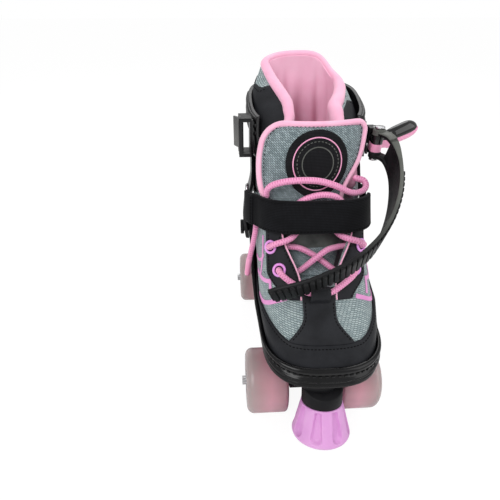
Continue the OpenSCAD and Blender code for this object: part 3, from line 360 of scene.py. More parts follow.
def cloth_map(grid):
    """Millimetres along and up the cloth for each point of a grid."""
    grid = np.asarray(grid, float)
    across = np.linalg.norm(np.diff(grid, axis=1), axis=2)
    u = np.concatenate([np.zeros((len(grid), 1)), np.cumsum(across, axis=1)], axis=1)
    u = u - u[:, u.shape[1] // 2][:, None]
    up = np.linalg.norm(np.diff(grid, axis=0), axis=2)
    v = np.concatenate([np.zeros((1, grid.shape[1])), np.cumsum(up, axis=0)], axis=0)
    v = np.repeat(v.mean(axis=1)[:, None], grid.shape[1], axis=1)
    return np.stack([u, v], axis=2).reshape(-1, 2)


def sheet(name, outer, inner, closed=False, bevel=0.5, crease_shades=None, sharp=40):
    """A closed sheet between two grids: rows go up, columns go round to the left as seen from outside."""
    m, n = len(outer), len(outer[0])

    def a(i, j):
        return i * n + j % n

    def b(i, j):
        return (m + i) * n + j % n

    cols = range(n if closed else n - 1)
    faces = []
    for i in range(m - 1):
        for j in cols:
            faces.append((a(i, j), a(i, j + 1), a(i + 1, j + 1), a(i + 1, j)))
            faces.append((b(i, j), b(i + 1, j), b(i + 1, j + 1), b(i, j + 1)))
    for j in cols:
        faces.append((a(m - 1, j), a(m - 1, j + 1), b(m - 1, j + 1), b(m - 1, j)))
        faces.append((a(0, j), b(0, j), b(0, j + 1), a(0, j + 1)))
    if not closed:
        for i in range(m - 1):
            faces.append((a(i, 0), a(i + 1, 0), b(i + 1, 0), b(i, 0)))
            faces.append((a(i, n - 1), b(i, n - 1), b(i + 1, n - 1), a(i + 1, n - 1)))
    points = [p for row in outer for p in row] + [p for row in inner for p in row]
    uvs = cloth_map(outer)
    piece = add_piece(name, points, faces, np.concatenate([uvs, uvs]), crease_shades)
    return round_edges(piece, bevel, sharp=sharp) if bevel else settle(piece, sharp)


def between(name, grid, high, low, **kind):
    """A closed sheet between the outer and the inner layer of one grid function."""
    return sheet(name, grid(high), grid(low), **kind)


def boot_grid(rows, angles, lift):
    """Points over the boot, rows of stations by columns of angles, at a height that may follow the angle."""
    return [[boot(t, th, lift(th) if callable(lift) else lift) for th in angles] for t in rows]


def ring_faces(count, n, closed=False):
    """The faces between rings of n points, which close into a loop or are capped at both ends."""
    faces = []
    for i in range(count if closed else count - 1):
        here, there = i * n, (i + 1) % count * n
        faces += [(here + j, here + (j + 1) % n, there + (j + 1) % n, there + j) for j in range(n)]
    if not closed:
        faces.append(tuple(range(n - 1, -1, -1)))
        faces.append(tuple((count - 1) * n + j for j in range(n)))
    return faces


def lofted(name, rings, closed=False):
    """A wall through rings of points."""
    return add_piece(name, [p for ring in rings for p in ring], ring_faces(len(rings), len(rings[0]), closed))


def spaced(low, high, count):
    return [mix(low, high, k / count) for k in range(count + 1)]


def tangents(path):
    return [unit(path[min(len(path) - 1, i + 1)] - path[max(0, i - 1)]) for i in range(len(path))]


def smooth_path(points, steps):
    points = [np.asarray(p, float) for p in points]
    return [curve(points, k / steps) for k in range((len(points) - 1) * steps + 1)]


def path_length(path):
    return sum(np.linalg.norm(b - a) for a, b in zip(path[:-1], path[1:]))


# How far out the rings of a tube's rounded end lie, and how wide they are, in radii
CAP = ((0.45, 0.89), (0.8, 0.6), (0.97, 0.25))


def tube(name, path, width, height=None, outs=None, sides=14, closed=False, sizes=None):
    """A round or flattened tube: width across, height along the outs, which follow the path if given."""
    path = [np.asarray(p, float) for p in path]
    height = width if height is None else height
    ways = tangents(path)
    if closed:
        ways = [unit(path[(i + 1) % len(path)] - path[i - 1]) for i in range(len(path))]
    normal = np.array([1.0, 0, 0]) if abs(ways[0][2]) > 0.8 else np.array([0, 0, 1.0])
    rings, along = [], 0.0
    for i, (p, t) in enumerate(zip(path, ways)):
        normal = outs[i] if outs is not None else normal
        normal = unit(normal - t * np.dot(normal, t))
        along += np.linalg.norm(p - path[i - 1]) if i else 0.0
        rings.append((p, t, normal, np.cross(t, normal), along, sizes[i] if sizes else 1.0))
    if not closed:
        p, t, out, side, s, k = rings[0]
        head = [(p - t * height / 2 * c, t, out, side, s, r * k) for c, r in reversed(CAP)]
        p, t, out, side, s, k = rings[-1]
        rings = head + rings + [(p + t * height / 2 * c, t, out, side, s, r * k) for c, r in CAP]
    points, uvs = [], []
    for p, t, out, side, s, k in rings:
        for q in range(sides):
            turn = 2 * math.pi * q / sides
            points.append(p + k * (out * math.cos(turn) * height / 2 + side * math.sin(turn) * width / 2))
            uvs.append((q / sides * math.pi * width, s))
    return settle(add_piece(name, points, ring_faces(len(rings), sides, closed), uvs), 60)


print("helpers ready: sheet, tube, lofted, round_edges, dress")

# %% [markdown]
# ## Finishes
# Each finish is a small node tree. Cloth and laces read the UV map in millimetres, because their weave
# follows the surface. Leather, rubber, metal and plastic read Object coordinates in metres. A value that is
# the same everywhere is set on the shader itself. Colours are written as they look in the photograph.


# %% Finish helpers
def look(name, rough):
    """A new finish: its material, its tree, its shader and its coordinates."""
    material = bpy.data.materials.new(name)
    material.use_nodes = True
    tree = material.node_tree
    shader = tree.nodes["Principled BSDF"]
    shader.inputs["Roughness"].default_value = rough
    return material, tree, shader, node(tree, "ShaderNodeTexCoord").outputs


def mix_colour(tree, share, a, b):
    return node(tree, "ShaderNodeMix", {0: share, 6: a, 7: b}, data_type="RGBA").outputs[2]


def ramp(tree, value, *stops):
    made = node(tree, "ShaderNodeValToRGB", {"Fac": value})
    dots = made.color_ramp.elements
    dots[0].position, dots[0].color = stops[0]
    dots[1].position, dots[1].color = stops[-1]
    for place, colour in stops[1:-1]:
        dots.new(place).color = colour
    return made.outputs["Color"]


def spread(tree, value, low, high, start=0.0, end=1.0):
    """A value between start and end moved to the range from low to high."""
    span = {"Value": value, "From Min": start, "From Max": end, "To Min": low, "To Max": high}
    return node(tree, "ShaderNodeMapRange", span).outputs["Result"]


def axis_of(tree, place, letter):
    return node(tree, "ShaderNodeSeparateXYZ", {"Vector": place}).outputs[letter]


def relief(tree, shader, height, strength, depth):
    made = node(tree, "ShaderNodeBump", {"Height": height, "Strength": strength, "Distance": depth * MM})
    tree.links.new(made.outputs["Normal"], shader.inputs["Normal"])


def clouds(tree, place, size, detail=3.0):
    """Soft noise with lumps of about this many millimetres, on Object coordinates."""
    grain = {"Vector": place, "Scale": 1000 / size, "Detail": detail}
    return node(tree, "ShaderNodeTexNoise", grain).outputs["Fac"]


def turned(tree, place, degrees):
    laid = {"Vector": place, "Rotation": (0, 0, math.radians(degrees))}
    return node(tree, "ShaderNodeMapping", laid).outputs[0]


def waves(tree, place, pitch, turn=0.0):
    """Bands of this pitch in the units of the map, turned by some degrees."""
    bands = {"Vector": turned(tree, place, turn), "Scale": math.pi / 10 / pitch}
    return node(tree, "ShaderNodeTexWave", bands, wave_type="BANDS", bands_direction="X").outputs["Fac"]


def knit(name, light, middle, dark, turn, cell):
    """Sandwich mesh: staggered grains of yarn with dark gaps."""
    material, tree, shader, place = look(name, 0.85)
    cells = node(tree, "ShaderNodeTexBrick",
                 {"Vector": turned(tree, place["UV"], turn), "Color1": light, "Color2": middle,
                  "Mortar": dark, "Scale": 1.0, "Mortar Size": 0.22 * cell[1], "Mortar Smooth": 0.8,
                  "Brick Width": cell[0], "Row Height": cell[1]}, offset=0.5).outputs
    worn = spread(tree, clouds(tree, place["Object"], 30), 0.0, 0.35)
    relief(tree, shader, maths(tree, "SUBTRACT", 1.0, cells["Fac"]), 0.55, 0.4)
    feed(tree, shader, {"Base Color": mix_colour(tree, worn, cells["Color"], dark), "Sheen Weight": 0.25})
    return material


def leather(name, dark, light, rough, grain=1.4, shine=0.3):
    """Synthetic leather: a fine pebble grain, a little uneven in gloss, paler in random rubbed patches, which
    on the dark vinyl also stand for painted highlights.
    """
    material, tree, shader, place = look(name, rough)
    pebble = node(tree, "ShaderNodeTexVoronoi", {"Vector": place["Object"], "Scale": 1000 / grain})
    rubbed_and_highlight = clouds(tree, place["Object"], 16)
    relief(tree, shader, pebble.outputs["Distance"], 0.22, 0.3)
    feed(tree, shader, {"Base Color": ramp(tree, rubbed_and_highlight, (0.3, dark), (0.75, light)),
                        "Roughness": spread(tree, rubbed_and_highlight, rough - 0.08, rough + 0.1),
                        "Specular IOR Level": shine})
    return material


def plastic(name, dark, light, rough, peel=0.06, coat=0.0, shine=0.5):
    """Moulded plastic: faint orange peel, uneven gloss, and fine handling marks."""
    material, tree, shader, place = look(name, rough)
    tone = ramp(tree, clouds(tree, place["Object"], 22), (0.35, dark), (0.8, light))
    drawn = node(tree, "ShaderNodeMapping", {"Vector": place["Object"], "Scale": (1, 1, 9)})
    marks = clouds(tree, drawn.outputs[0], 6, 5.0)
    relief(tree, shader, clouds(tree, place["Object"], 1.3), peel, 0.3)
    feed(tree, shader, {"Base Color": tone, "Roughness": spread(tree, marks, rough * 0.75, rough * 1.35),
                        "Coat Weight": coat, "Specular IOR Level": shine})
    return material


def fade_down(material, dark, low, high):
    """Lets a finish fade to a darker colour between two heights in metres."""
    tree = material.node_tree
    shader = tree.nodes["Principled BSDF"]
    tone = shader.inputs["Base Color"].links[0].from_socket
    place = node(tree, "ShaderNodeTexCoord").outputs["Object"]
    share = spread(tree, axis_of(tree, place, "Z"), 0.0, 1.0, low, high)
    feed(tree, shader, {"Base Color": mix_colour(tree, share, dark, tone)})


def woven(name, dark, light, along, across, rough=0.9, strength=0.6, shine=0.1):
    """Webbing: warp and weft bands crossing on the cloth map."""
    material, tree, shader, place = look(name, rough)
    crossed = maths(tree, "MULTIPLY", waves(tree, place["UV"], along), waves(tree, place["UV"], across, 90))
    tone = maths(tree, "MULTIPLY", crossed, clouds(tree, place["Object"], 9))
    relief(tree, shader, crossed, strength, 0.35)
    feed(tree, shader, {"Base Color": ramp(tree, tone, (0.05, dark), (0.5, light)), "Sheen Weight": 0.05,
                        "Specular IOR Level": shine})
    return material


def braid(name, dark, light, pitch):
    """Lace: two sets of yarns, wound almost straight around the cord."""
    material, tree, shader, place = look(name, 0.75)
    yarn = maths(tree, "MAXIMUM", *(waves(tree, place["UV"], pitch, turn) for turn in (76, -76)))
    tone = maths(tree, "MULTIPLY", yarn, spread(tree, clouds(tree, place["Object"], 14), 0.75, 1.1))
    relief(tree, shader, yarn, 0.8, 0.5)
    feed(tree, shader, {"Base Color": ramp(tree, tone, (0.2, dark), (0.85, light)), "Sheen Weight": 0.3})
    return material


def brushed_cloth(name, deep, base, pale):
    """Brushed lining: soft nap, with painted shade in the folds, whose strength each point carries as an
    attribute.
    """
    material, tree, shader, place = look(name, 0.9)
    crease_shade = node(tree, "ShaderNodeAttribute", attribute_name="crease_shade").outputs["Fac"]
    soft = ramp(tree, clouds(tree, place["Object"], 12), (0.3, base), (0.8, pale))
    relief(tree, shader, clouds(tree, place["Object"], 0.8), 0.25, 0.25)
    feed(tree, shader, {"Base Color": mix_colour(tree, crease_shade, soft, deep), "Sheen Weight": 0.4})
    return material


def metal(name, tone, rough):
    """Plated steel: drawn marks in the gloss."""
    material, tree, shader, place = look(name, rough)
    drawn = node(tree, "ShaderNodeMapping", {"Vector": place["Object"], "Scale": (0.3, 6, 6)})
    marks = clouds(tree, drawn.outputs[0], 3, 4.0)
    dull = tuple(v * 0.75 for v in tone[:3]) + (1.0,)
    feed(tree, shader, {"Base Color": ramp(tree, marks, (0.3, dull), (0.7, tone)), "Metallic": 1.0,
                        "Roughness": spread(tree, marks, rough * 0.7, rough * 1.4)})
    return material


# %% The finishes of this skate
mesh_grey = knit("grey_mesh", paint(186, 200, 200), paint(150, 166, 168), paint(78, 92, 96), 8, (2.6, 1.35))
twill_grey = knit("grey_twill", paint(172, 188, 192), paint(124, 140, 144), paint(52, 64, 68), 34, (2.6, 1.1))
leather_black = leather("black_leather", paint(27, 28, 31), paint(41, 42, 46), 0.5, shine=0.14)
# Dark vinyl: its pale random patches are partly painted highlight, and its darkness under the strap partly
# painted shade.
shaded_vinyl = leather("vinyl_painted_shade_and_highlight", paint(36, 40, 39), paint(98, 104, 100), 0.34, 2.6, 0.5)
shell_black = plastic("gloss_shell", paint(9, 9, 10), paint(18, 18, 20), 0.16, 0.05, shine=0.3)
cuff_black = plastic("satin_cuff", paint(14, 14, 15), paint(26, 26, 28), 0.3, shine=0.28)
frame_black = plastic("matt_frame", paint(16, 16, 18), paint(30, 30, 33), 0.5, 0.15, shine=0.16)
cover_black = plastic("gloss_cover", paint(10, 10, 11), paint(18, 18, 19), 0.12, 0.03, 0.3, 0.4)
tooth_black = plastic("strap_black", paint(14, 14, 15), paint(28, 29, 30), 0.46, 0.18, shine=0.18)
# A grey copy of the strap's black plastic: a painted highlight on the upward faces lit from above. The same
# grey is also the patch's printed ring and its stitches.
highlight_and_print_grey, edge_highlight_grey = (plastic(name, paint(82, 84, 80), paint(108, 110, 105), 0.42, 0.12, shine=0.2)
                        for name in ("strap_root_highlight_and_patch_grey", "strap_edge_highlight"))
# Painted highlight and shade: the strap's top edge is grey high up and fades to black lower down.
fade_down(edge_highlight_grey, paint(24, 24, 26), 0.15, 0.178)
catch_dark = plastic("catch_grey", paint(60, 60, 60), paint(96, 95, 92), 0.4)
pink_hard = plastic("pink_plastic", paint(238, 150, 190), paint(248, 172, 206), 0.3)
core_pink = plastic("core_pink", paint(236, 158, 190), paint(246, 182, 206), 0.4)
eyelet_pink = plastic("orchid_eyelet", paint(226, 146, 226), paint(240, 172, 240), 0.28)
strip_pink = leather("pink_strip", paint(218, 138, 196), paint(236, 164, 214), 0.45, 1.0)
webbing_black = woven("black_webbing", paint(14, 14, 16), paint(34, 35, 39), 0.9, 1.1, strength=0.35)
lace_pink = braid("pink_lace", paint(226, 124, 176), paint(250, 166, 208), 1.7)
# The lining's deep pink is painted shade, laid into its creases and low inside the collar.
lining_pink = brushed_cloth("pink_lining", paint(194, 108, 138), paint(246, 184, 210), paint(252, 200, 222))
binding_pink = brushed_cloth("pink_binding", paint(226, 140, 178), paint(246, 176, 206), paint(252, 194, 218))
patch_black = woven("patch_cloth", paint(16, 16, 18), paint(44, 44, 48), 0.9, 0.9, 0.8, 0.4)
thread_black = leather("black_thread", paint(6, 6, 7), paint(15, 15, 16), 0.7, 0.6, 0.05)
thread_pink = leather("pink_thread", paint(232, 150, 190), paint(248, 180, 210), 0.6, 0.6)
steel = metal("plated_steel", paint(204, 204, 206), 0.26)
cushion_pink = plastic("cushion_rubber", paint(208, 132, 168), paint(226, 156, 186), 0.5)
print("finishes:", len(bpy.data.materials))

# %% [markdown]
# ## Wheel and toe stop finishes
# The tyres are cast in a cloudy urethane, so the pink core glows through the middle of the tread and the
# shoulders look grey and clear. A little transmission and a colour that follows the axle's direction give
# that. The toe stop is a firm orchid rubber, scuffed on its foot.

# %% Tyre and toe stop finishes
tyre_mauve, tree, shader, place = look("cloudy_tyre", 0.3)
outward = maths(tree, "ABSOLUTE", axis_of(tree, place["Object"], "X"))
smoke = clouds(tree, place["Object"], 9)
depth = maths(tree, "MULTIPLY_ADD", smoke, 0.16, spread(tree, outward, 0.0, 1.0, 0.021, 0.054))
tone = ramp(tree, depth, (0.06, paint(176, 136, 144)), (0.3, paint(204, 157, 167)),
            (0.5, paint(222, 168, 180)), (0.74, paint(204, 164, 170)), (1.0, paint(188, 172, 171)))
relief(tree, shader, clouds(tree, place["Object"], 3), 0.05, 0.3)
feed(tree, shader, {"Base Color": tone, "Roughness": spread(tree, smoke, 0.14, 0.3), "IOR": 1.45,
                    "Transmission Weight": 0.35, "Subsurface Weight": 0.3, "Subsurface Scale": 1.0,
                    "Subsurface Radius": (0.004, 0.0025, 0.0025)})

stop_orchid, tree, shader, place = look("orchid_rubber", 0.42)
foot_share = spread(tree, axis_of(tree, place["Object"], "Z"), 0.0, 1.0, 0.024, 0.009)
rub = maths(tree, "MULTIPLY", foot_share, clouds(tree, place["Object"], 2.5, 5.0))
tone = ramp(tree, clouds(tree, place["Object"], 18), (0.3, paint(212, 150, 208)), (0.8, paint(226, 168, 220)))
relief(tree, shader, clouds(tree, place["Object"], 1.2), 0.1, 0.3)
feed(tree, shader, {"Base Color": mix_colour(tree, spread(tree, rub, 0.0, 0.45), tone, paint(188, 138, 186)),
                    "Roughness": spread(tree, clouds(tree, place["Object"], 5), 0.36, 0.52),
                    "Subsurface Weight": 0.1, "Subsurface Scale": 1.0,
                    "Subsurface Radius": (0.002, 0.001, 0.002)})
print("cast finishes: tyre and toe stop")

# %% [markdown]
# ## Laces
# A lace is a round braided cord of 4.4 mm. The rungs cross the throat and go down into the eyelets. One slack
# loop stands over the strap in front of the tongue, and one end hangs on the inner side, tipped with a
# plastic aglet. The routes are those of the CAD solids, so that the cords lie where the solids are.

# %% The slack loop and the hanging end
LACE_D = 4.4
LOOP = [[-35.5, -14, 166], [-35.5, -15.5, 170.5], [-31.5, -18, 175.5], [-20, -20.5, 179], [-2, -21, 179],
        [12, -20.5, 175], [25, -18, 168.5], [34, -14, 167.5], [38, -10, 169.5], [36.5, -6.5, 172.5],
        [31, -4.5, 173.5]]
TAIL = [boot(7.9, -67, 2.6), boot(7.45, -69, 2.6), boot(7, -71, 2.8), [-44.5, -12.8, 128], [-46.5, -13, 118],
        [-48.5, -13, 107], [-49.6, -13, 96]]


def lace_cord(name, points, node_name):
    path = smooth_path(points, 6)
    piece = dress(tube(name, path, LACE_D), lace_pink, "boot", "pink_lace", node_name)
    print(name, "is", round(path_length(path)), "mm long")


lace_cord("lace_loop_braid", LOOP, "lace_loop")
tail_end = smooth_path(TAIL, 6)
aglet = tube("lace_aglet", tail_end[-9:], LACE_D + 0.5)
dress(aglet, pink_hard, "boot", "pink_plastic")
lace_cord("lace_tail_braid", TAIL, "lace_tail")

# %% The rungs across the throat
# Station, x and height over the boot
FRONT_HALF = [[5.85, 27, -1.5], [5.85, 27, 3.2], [5.8, 26.2, 5.8], [5.55, 22.5, 7], [5.2, 14, 6],
              [5.02, 8, 4.8]]
UPPER_HALF = [[6.72, 32, -1.5], [6.72, 32, 3.2], [6.76, 31.2, 5.8], [6.95, 27, 6.8], [7.12, 21.5, 4.4],
              [7.3, 17, 0], [7.6, 13, -3.6], [8, 11, -4]]


def mirrored(points):
    return [[t, -x, height] for t, x, height in points]


RUNGS = [
    mirrored(FRONT_HALF) + [[5, 0, 4.8]] + FRONT_HALF[::-1],
    [[5.8, -16.5, -5], [6, -10, -4.4], [6.35, -2, 0.4], [6.7, 7, 0.6], [6.8, 15, -3.4], [6.82, 23.5, -5]],
    [[5.8, 16.5, -5], [6.15, 8, -5], [6.5, -1, -5], [6.8, -12, -5], [6.85, -23.5, -5]],
    mirrored(UPPER_HALF), UPPER_HALF]
OVER = [[-14, -22.5, 163], [-8, -23, 167], [2, -23, 169.5], [12, -22.5, 168], [18, -21.5, 163.5]]
for number, rung in enumerate([[stand(*spot) for spot in rung] for rung in RUNGS] + [OVER], 1):
    cord = tube(f"lace_rung_{number}", smooth_path(rung, 6), LACE_D)
    dress(cord, lace_pink, "boot", "pink_lace", "lace_rungs")
print("lace rungs:", len(RUNGS) + 1)

# %% [markdown]
# ## A row of repeated things
# Stitches, strap teeth, eyelets and the notches of the sole all repeat along a line. One Geometry Nodes tree
# sets a shape on every point, turned so that it lies along the line and faces out. The shape is an input of
# the function that builds the tree, and its length, width and height are named inputs of the tree.


# %% The tree that repeats a shape
def stitch_shape(tree):
    return node(tree, "GeometryNodeMeshUVSphere", {"Segments": 8, "Rings": 5, "Radius": 0.5}).outputs["Mesh"]


def block_shape(tree):
    cube = node(tree, "GeometryNodeMeshCube", {"Size": (1, 1, 1)}).outputs["Mesh"]
    rounded = {"Mesh": cube, "Level": 2, "Edge Crease": 0.75}
    return node(tree, "GeometryNodeSubdivisionSurface", rounded).outputs[0]


def ring_shape(tree):
    loop, wire = (node(tree, "GeometryNodeCurvePrimitiveCircle", {"Resolution": count, "Radius": radius})
                  for count, radius in ((28, 0.4), (8, 0.1)))
    rings = {"Curve": loop.outputs[0], "Profile Curve": wire.outputs[0]}
    return node(tree, "GeometryNodeCurveToMesh", rings).outputs[0]


def repeat_tree(name, shape):
    tree = bpy.data.node_groups.new(name, "GeometryNodeTree")
    plan = tree.interface
    plan.new_socket("Geometry", in_out="INPUT", socket_type="NodeSocketGeometry")
    for label in ("Length", "Width", "Height"):
        plan.new_socket(label, in_out="INPUT", socket_type="NodeSocketFloat")
    plan.new_socket("Finish", in_out="INPUT", socket_type="NodeSocketMaterial")
    plan.new_socket("Geometry", in_out="OUTPUT", socket_type="NodeSocketGeometry")
    start = node(tree, "NodeGroupInput")
    size = node(tree, "ShaderNodeCombineXYZ", {"X": start.outputs["Length"], "Y": start.outputs["Width"],
                                               "Z": start.outputs["Height"]})
    along, out = (node(tree, "GeometryNodeInputNamedAttribute", {"Name": label}, data_type="FLOAT_VECTOR")
                  for label in ("along", "out"))
    lie = node(tree, "FunctionNodeAlignRotationToVector", {"Vector": along.outputs[0]}, axis="X")
    turn = node(tree, "FunctionNodeAlignRotationToVector",
                {"Rotation": lie.outputs[0], "Vector": out.outputs[0]}, axis="Z", pivot_axis="X")
    laid = node(tree, "GeometryNodeInstanceOnPoints",
                {"Points": start.outputs["Geometry"], "Instance": shape(tree), "Rotation": turn.outputs[0],
                 "Scale": size.outputs[0]})
    real = node(tree, "GeometryNodeRealizeInstances", {"Geometry": laid.outputs[0]})
    done = node(tree, "GeometryNodeSetMaterial",
                {"Geometry": real.outputs[0], "Material": start.outputs["Finish"]})
    node(tree, "NodeGroupOutput", {"Geometry": done.outputs[0]})
    return tree


stitch_tree = repeat_tree("row_of_stitches", stitch_shape)
block_tree = repeat_tree("row_of_blocks", block_shape)
ring_tree = repeat_tree("row_of_rings", ring_shape)


def repeated(name, tree, spots, size, look_of, body, slot, *nodes, first=None):
    """Sets a shape on spots, each a point, a direction along and a direction out, in millimetres."""
    mesh = bpy.data.meshes.new(name)
    mesh.from_pydata([tuple(np.asarray(s[0]) * MM) for s in spots], [], [])
    for index, label in ((1, "along"), (2, "out")):
        values = np.array([s[index] for s in spots], np.float32).ravel()
        mesh.attributes.new(label, "FLOAT_VECTOR", "POINT").data.foreach_set("vector", values)
    piece = bpy.data.objects.new(name, mesh)
    scene.collection.objects.link(piece)
    maker = piece.modifiers.new("repeat", "NODES")
    maker.node_group = tree
    values = {"Length": size[0] * MM, "Width": size[1] * MM, "Height": size[2] * MM, "Finish": look_of}
    for item in tree.interface.items_tree:
        if item.name in values:
            maker[item.identifier] = values[item.name]
    settle(piece, 60)
    print(name, "has", len(spots), "shapes and", len(piece.data.polygons), "faces")
    if first is not None:
        first(piece)
    dress(piece, look_of, body, slot, *nodes)


def row_of_spots(path, outs, pitch):
    """Evenly spaced spots along a path."""
    path = np.asarray(path, float)
    steps = np.concatenate([[0], np.cumsum(np.linalg.norm(np.diff(path, axis=0), axis=1))])
    spots = []
    for s in np.arange(pitch / 2, steps[-1], pitch):
        i = min(len(path) - 2, int(np.searchsorted(steps, s, "right")) - 1)
        k = (s - steps[i]) / (steps[i + 1] - steps[i])
        along = unit(path[i + 1] - path[i])
        spots.append((mix(path[i], path[i + 1], k), along, unit(mix(outs[i], outs[i + 1], k))))
    return spots


def line_spots(line, pitch, lift):
    """Spots along a line of stations and angles on the boot, at a height that may follow the angle."""
    path = [boot(t, th, lift(th) if callable(lift) else lift) for t, th in line]
    return row_of_spots(path, [boot_normal(t, th) for t, th in line], pitch)


print("repeat trees:", stitch_tree.name, block_tree.name, ring_tree.name)

# %% [markdown]
# ## Sole shell
# The boot stands in a glossy black tray. At the toe it shows a rolled lip, two soft bulges, and a groove with
# small notched blocks under the sewn rand. Behind, it rises to a heel counter and two uprights for the cuff.
# The tray is one lofted wall with that profile, cut where the front half slides into the rear half.


# %% Sole shell, front and rear
def side_angle(th):
    a = abs(th) % 360
    return 360 - a if a > 180 else a


PIVOT_T, PIVOT_TH = 5.5, 104


def shell_edge(th):
    a = side_angle(th)
    return max(mix(1.9, 5.2, ease((a - 96) / 40)), 6.4 - ((a - PIVOT_TH) / 8) ** 2)


GROOVE = 0.66


def shell_off(s):
    swell = 1.2 * bump(s, 0.14, 0.09) + 1.1 * bump(s, 0.42, 0.09) + 0.6 * bump(s, 0.9, 0.09)
    return 5.4 + swell - 1.2 * bump(s, GROOVE, 0.055)


shell_angles = spaced(0, 87.5, 35) + spaced(90, 123.75, 27) + spaced(125, 177.5, 21)
shell_angles += [180] + [360 - a for a in reversed(shell_angles[1:])]


def sole_ring(off, z):
    return [np.array([*boot(0, th, off)[:2], z]) for th in shell_angles]


def shell_ring(s, off):
    return [boot(s * shell_edge(th), th, off) for th in shell_angles]


# Offset and height for the foot, share of the wall and offset for the lip, shares for the inside
FOOT = ((2.5, 60), (4.6, 60.1), (6, 60.6), (6.6, 61.6), (6.5, 62.6))
LIP = ((0.99, 5.5), (1, 5), (1.005, 4.4), (1, 3.6), (0.98, 3.1))
INSIDE = (0.85, 0.66, 0.45, 0.25, 0.12)
INSIDE_OFF = 3
shell_rings = [sole_ring(off, z) for off, z in FOOT]
shell_rings += [shell_ring(s, shell_off(s)) for s in spaced(0.06, 0.96, 26)]
shell_rings += [shell_ring(s, off) for s, off in LIP]
shell_rings += [shell_ring(s, INSIDE_OFF) for s in INSIDE] + [sole_ring(INSIDE_OFF, SOLE_Z)]


def whole(shape):
    return shape.verts[:] + shape.edges[:] + shape.faces[:]


def keep_side(piece, y, front):
    """Cuts a closed piece at a plane across the boot and closes the cut."""
    shape = bmesh.new()
    shape.from_mesh(piece.data)
    bmesh.ops.bisect_plane(shape, geom=whole(shape), plane_co=(0, y * MM, 0), plane_no=(0, 1, 0),
                           clear_outer=front, clear_inner=not front)
    rim = [e for e in shape.edges if e.is_boundary]
    bmesh.ops.triangle_fill(shape, edges=rim, use_beauty=True)
    bmesh.ops.recalc_face_normals(shape, faces=shape.faces[:])
    shape.to_mesh(piece.data)
    shape.free()
    return settle(piece, 35)


for name, y, front, slot in (("toe_shell", 4.8, True, "gloss_black"),
                             ("heel_shell", 5.2, False, "black_plastic")):
    dress(keep_side(lofted(name + "_moulding", shell_rings), y, front), shell_black, "boot", slot, name)
notch_line = [(GROOVE * shell_edge(th), th) for th in spaced(-64, 64, 24)]
repeated("toe_notches", block_tree, line_spots(notch_line, 4.6, 5.05), (2.4, 1.3, 1.2), shell_black, "boot",
         "gloss_black")
print("sole shell:", len(shell_rings), "rings of", len(shell_angles))

# %% [markdown]
# ## Sewn upper
# The foot of the boot is grey sandwich mesh. Over it lie black synthetic leather pieces: the rand round the
# toe, a strip up the vamp and two eyestays. Each is a patch of the last with its own height, because such a
# patch follows the mesh under it everywhere. Short black threads stitch its edges, and pink piping lines the
# throat.

# %% Mesh foot and ankle quarters
THROAT_T = 5.35
MESH = (0, -2.5)
ring_angles = spaced(0, 356, 89)


def throat_half(t):
    return mix(12, 24, ease((t - THROAT_T) / 2.2))


def foot_grid(off):
    return boot_grid(spaced(0.3, THROAT_T, 26), ring_angles, off)


def quarter_grid(off):
    rows = []
    for t in spaced(5.38, 8.15, 16):
        outer, inner = (angle_at(t, side * (throat_half(t) + 2.2)) for side in (1, -1))
        rows.append([boot(t, th, off) for th in spaced(outer, 360 + inner, 90)])
    return rows


dress(between("foot_mesh", foot_grid, *MESH, closed=True), mesh_grey, "boot", "grey_mesh", "foot_upper")
dress(between("quarter_mesh", quarter_grid, *MESH), mesh_grey, "boot", "grey_mesh", "ankle_quarters")
print("mesh foot and quarters")

# %% Leather overlays
LEATHER = (2.2, 0.6)


def rand_edge(th):
    return 3 + 0.9 * ease((side_angle(th) - 25) / 50)


def rand_grid(off):
    return [[boot(mix(0.05, rand_edge(th), s), th, off) for th in ring_angles] for s in spaced(0, 1, 14)]


def strip_half(t):
    return mix(25, 11.5, ease((t - 2.6) / 1.7))


def strip_grid(off):
    return [[boot(t, angle_at(t, strip_half(t) * j), off) for j in spaced(-1, 1, 20)]
            for t in spaced(3.02, 5.28, 16)]


def stay_in(t):
    return max(12.5, throat_half(max(t, THROAT_T)) + 0.4)


def stay_out(t):
    return mix(24, 35, ease((t - 4.75) / 0.9))


def stay_grid(side, off):
    shares = spaced(0, 1, 12) if side > 0 else spaced(1, 0, 12)
    return [[boot(t, angle_at(t, side * mix(stay_in(t), stay_out(t), k)), off) for k in shares]
            for t in spaced(4.8, 8.05, 20)]


rand = between("rand_leather", rand_grid, *LEATHER, closed=True, bevel=0.6)
dress(rand, leather_black, "boot", "black_leather", "toe_rand")
vamp = between("vamp_leather", strip_grid, *LEATHER, bevel=0.6)
dress(vamp, leather_black, "boot", "black_leather", "vamp_strip")
HANDS = {"inner": -1, "outer": 1}
for hand, side in HANDS.items():
    stay = between(f"eyestay_{hand}", lambda off: stay_grid(side, off), *LEATHER, bevel=0.6)
    dress(stay, leather_black, "boot", "black_leather", "eyestays")
    edge = [boot(t, angle_at(t, side * (stay_in(t) - 0.1)), 2.0) for t in spaced(4.85, 8, 24)]
    dress(tube(f"eyestay_piping_{hand}", edge, 1.3, sides=8), binding_pink, "boot", "pink_lining")
print("overlays: rand, vamp strip, two eyestays with piping")


# %% Stitching on the leather
def leather_seam(points):
    return line_spots(smooth_path(points, 8), 2.6, LEATHER[0] + 0.05)


threads = leather_seam([(rand_edge(th) - 0.16, th) for th in spaced(-70, 70, 20)])
for side in HANDS.values():
    for edge, inset, low, high, count in ((strip_half, -1.8, 3.15, 4.75, 10), (stay_out, -1.8, 4.86, 7.4, 14),
                                          (stay_in, 1.9, 5.1, 7.4, 14)):
        line = [(t, angle_at(t, side * (edge(t) + inset))) for t in spaced(low, high, count)]
        threads += leather_seam(line)
repeated("leather_stitches", stitch_tree, threads, (1.9, 0.7, 0.6), thread_black, "boot", "black_leather")

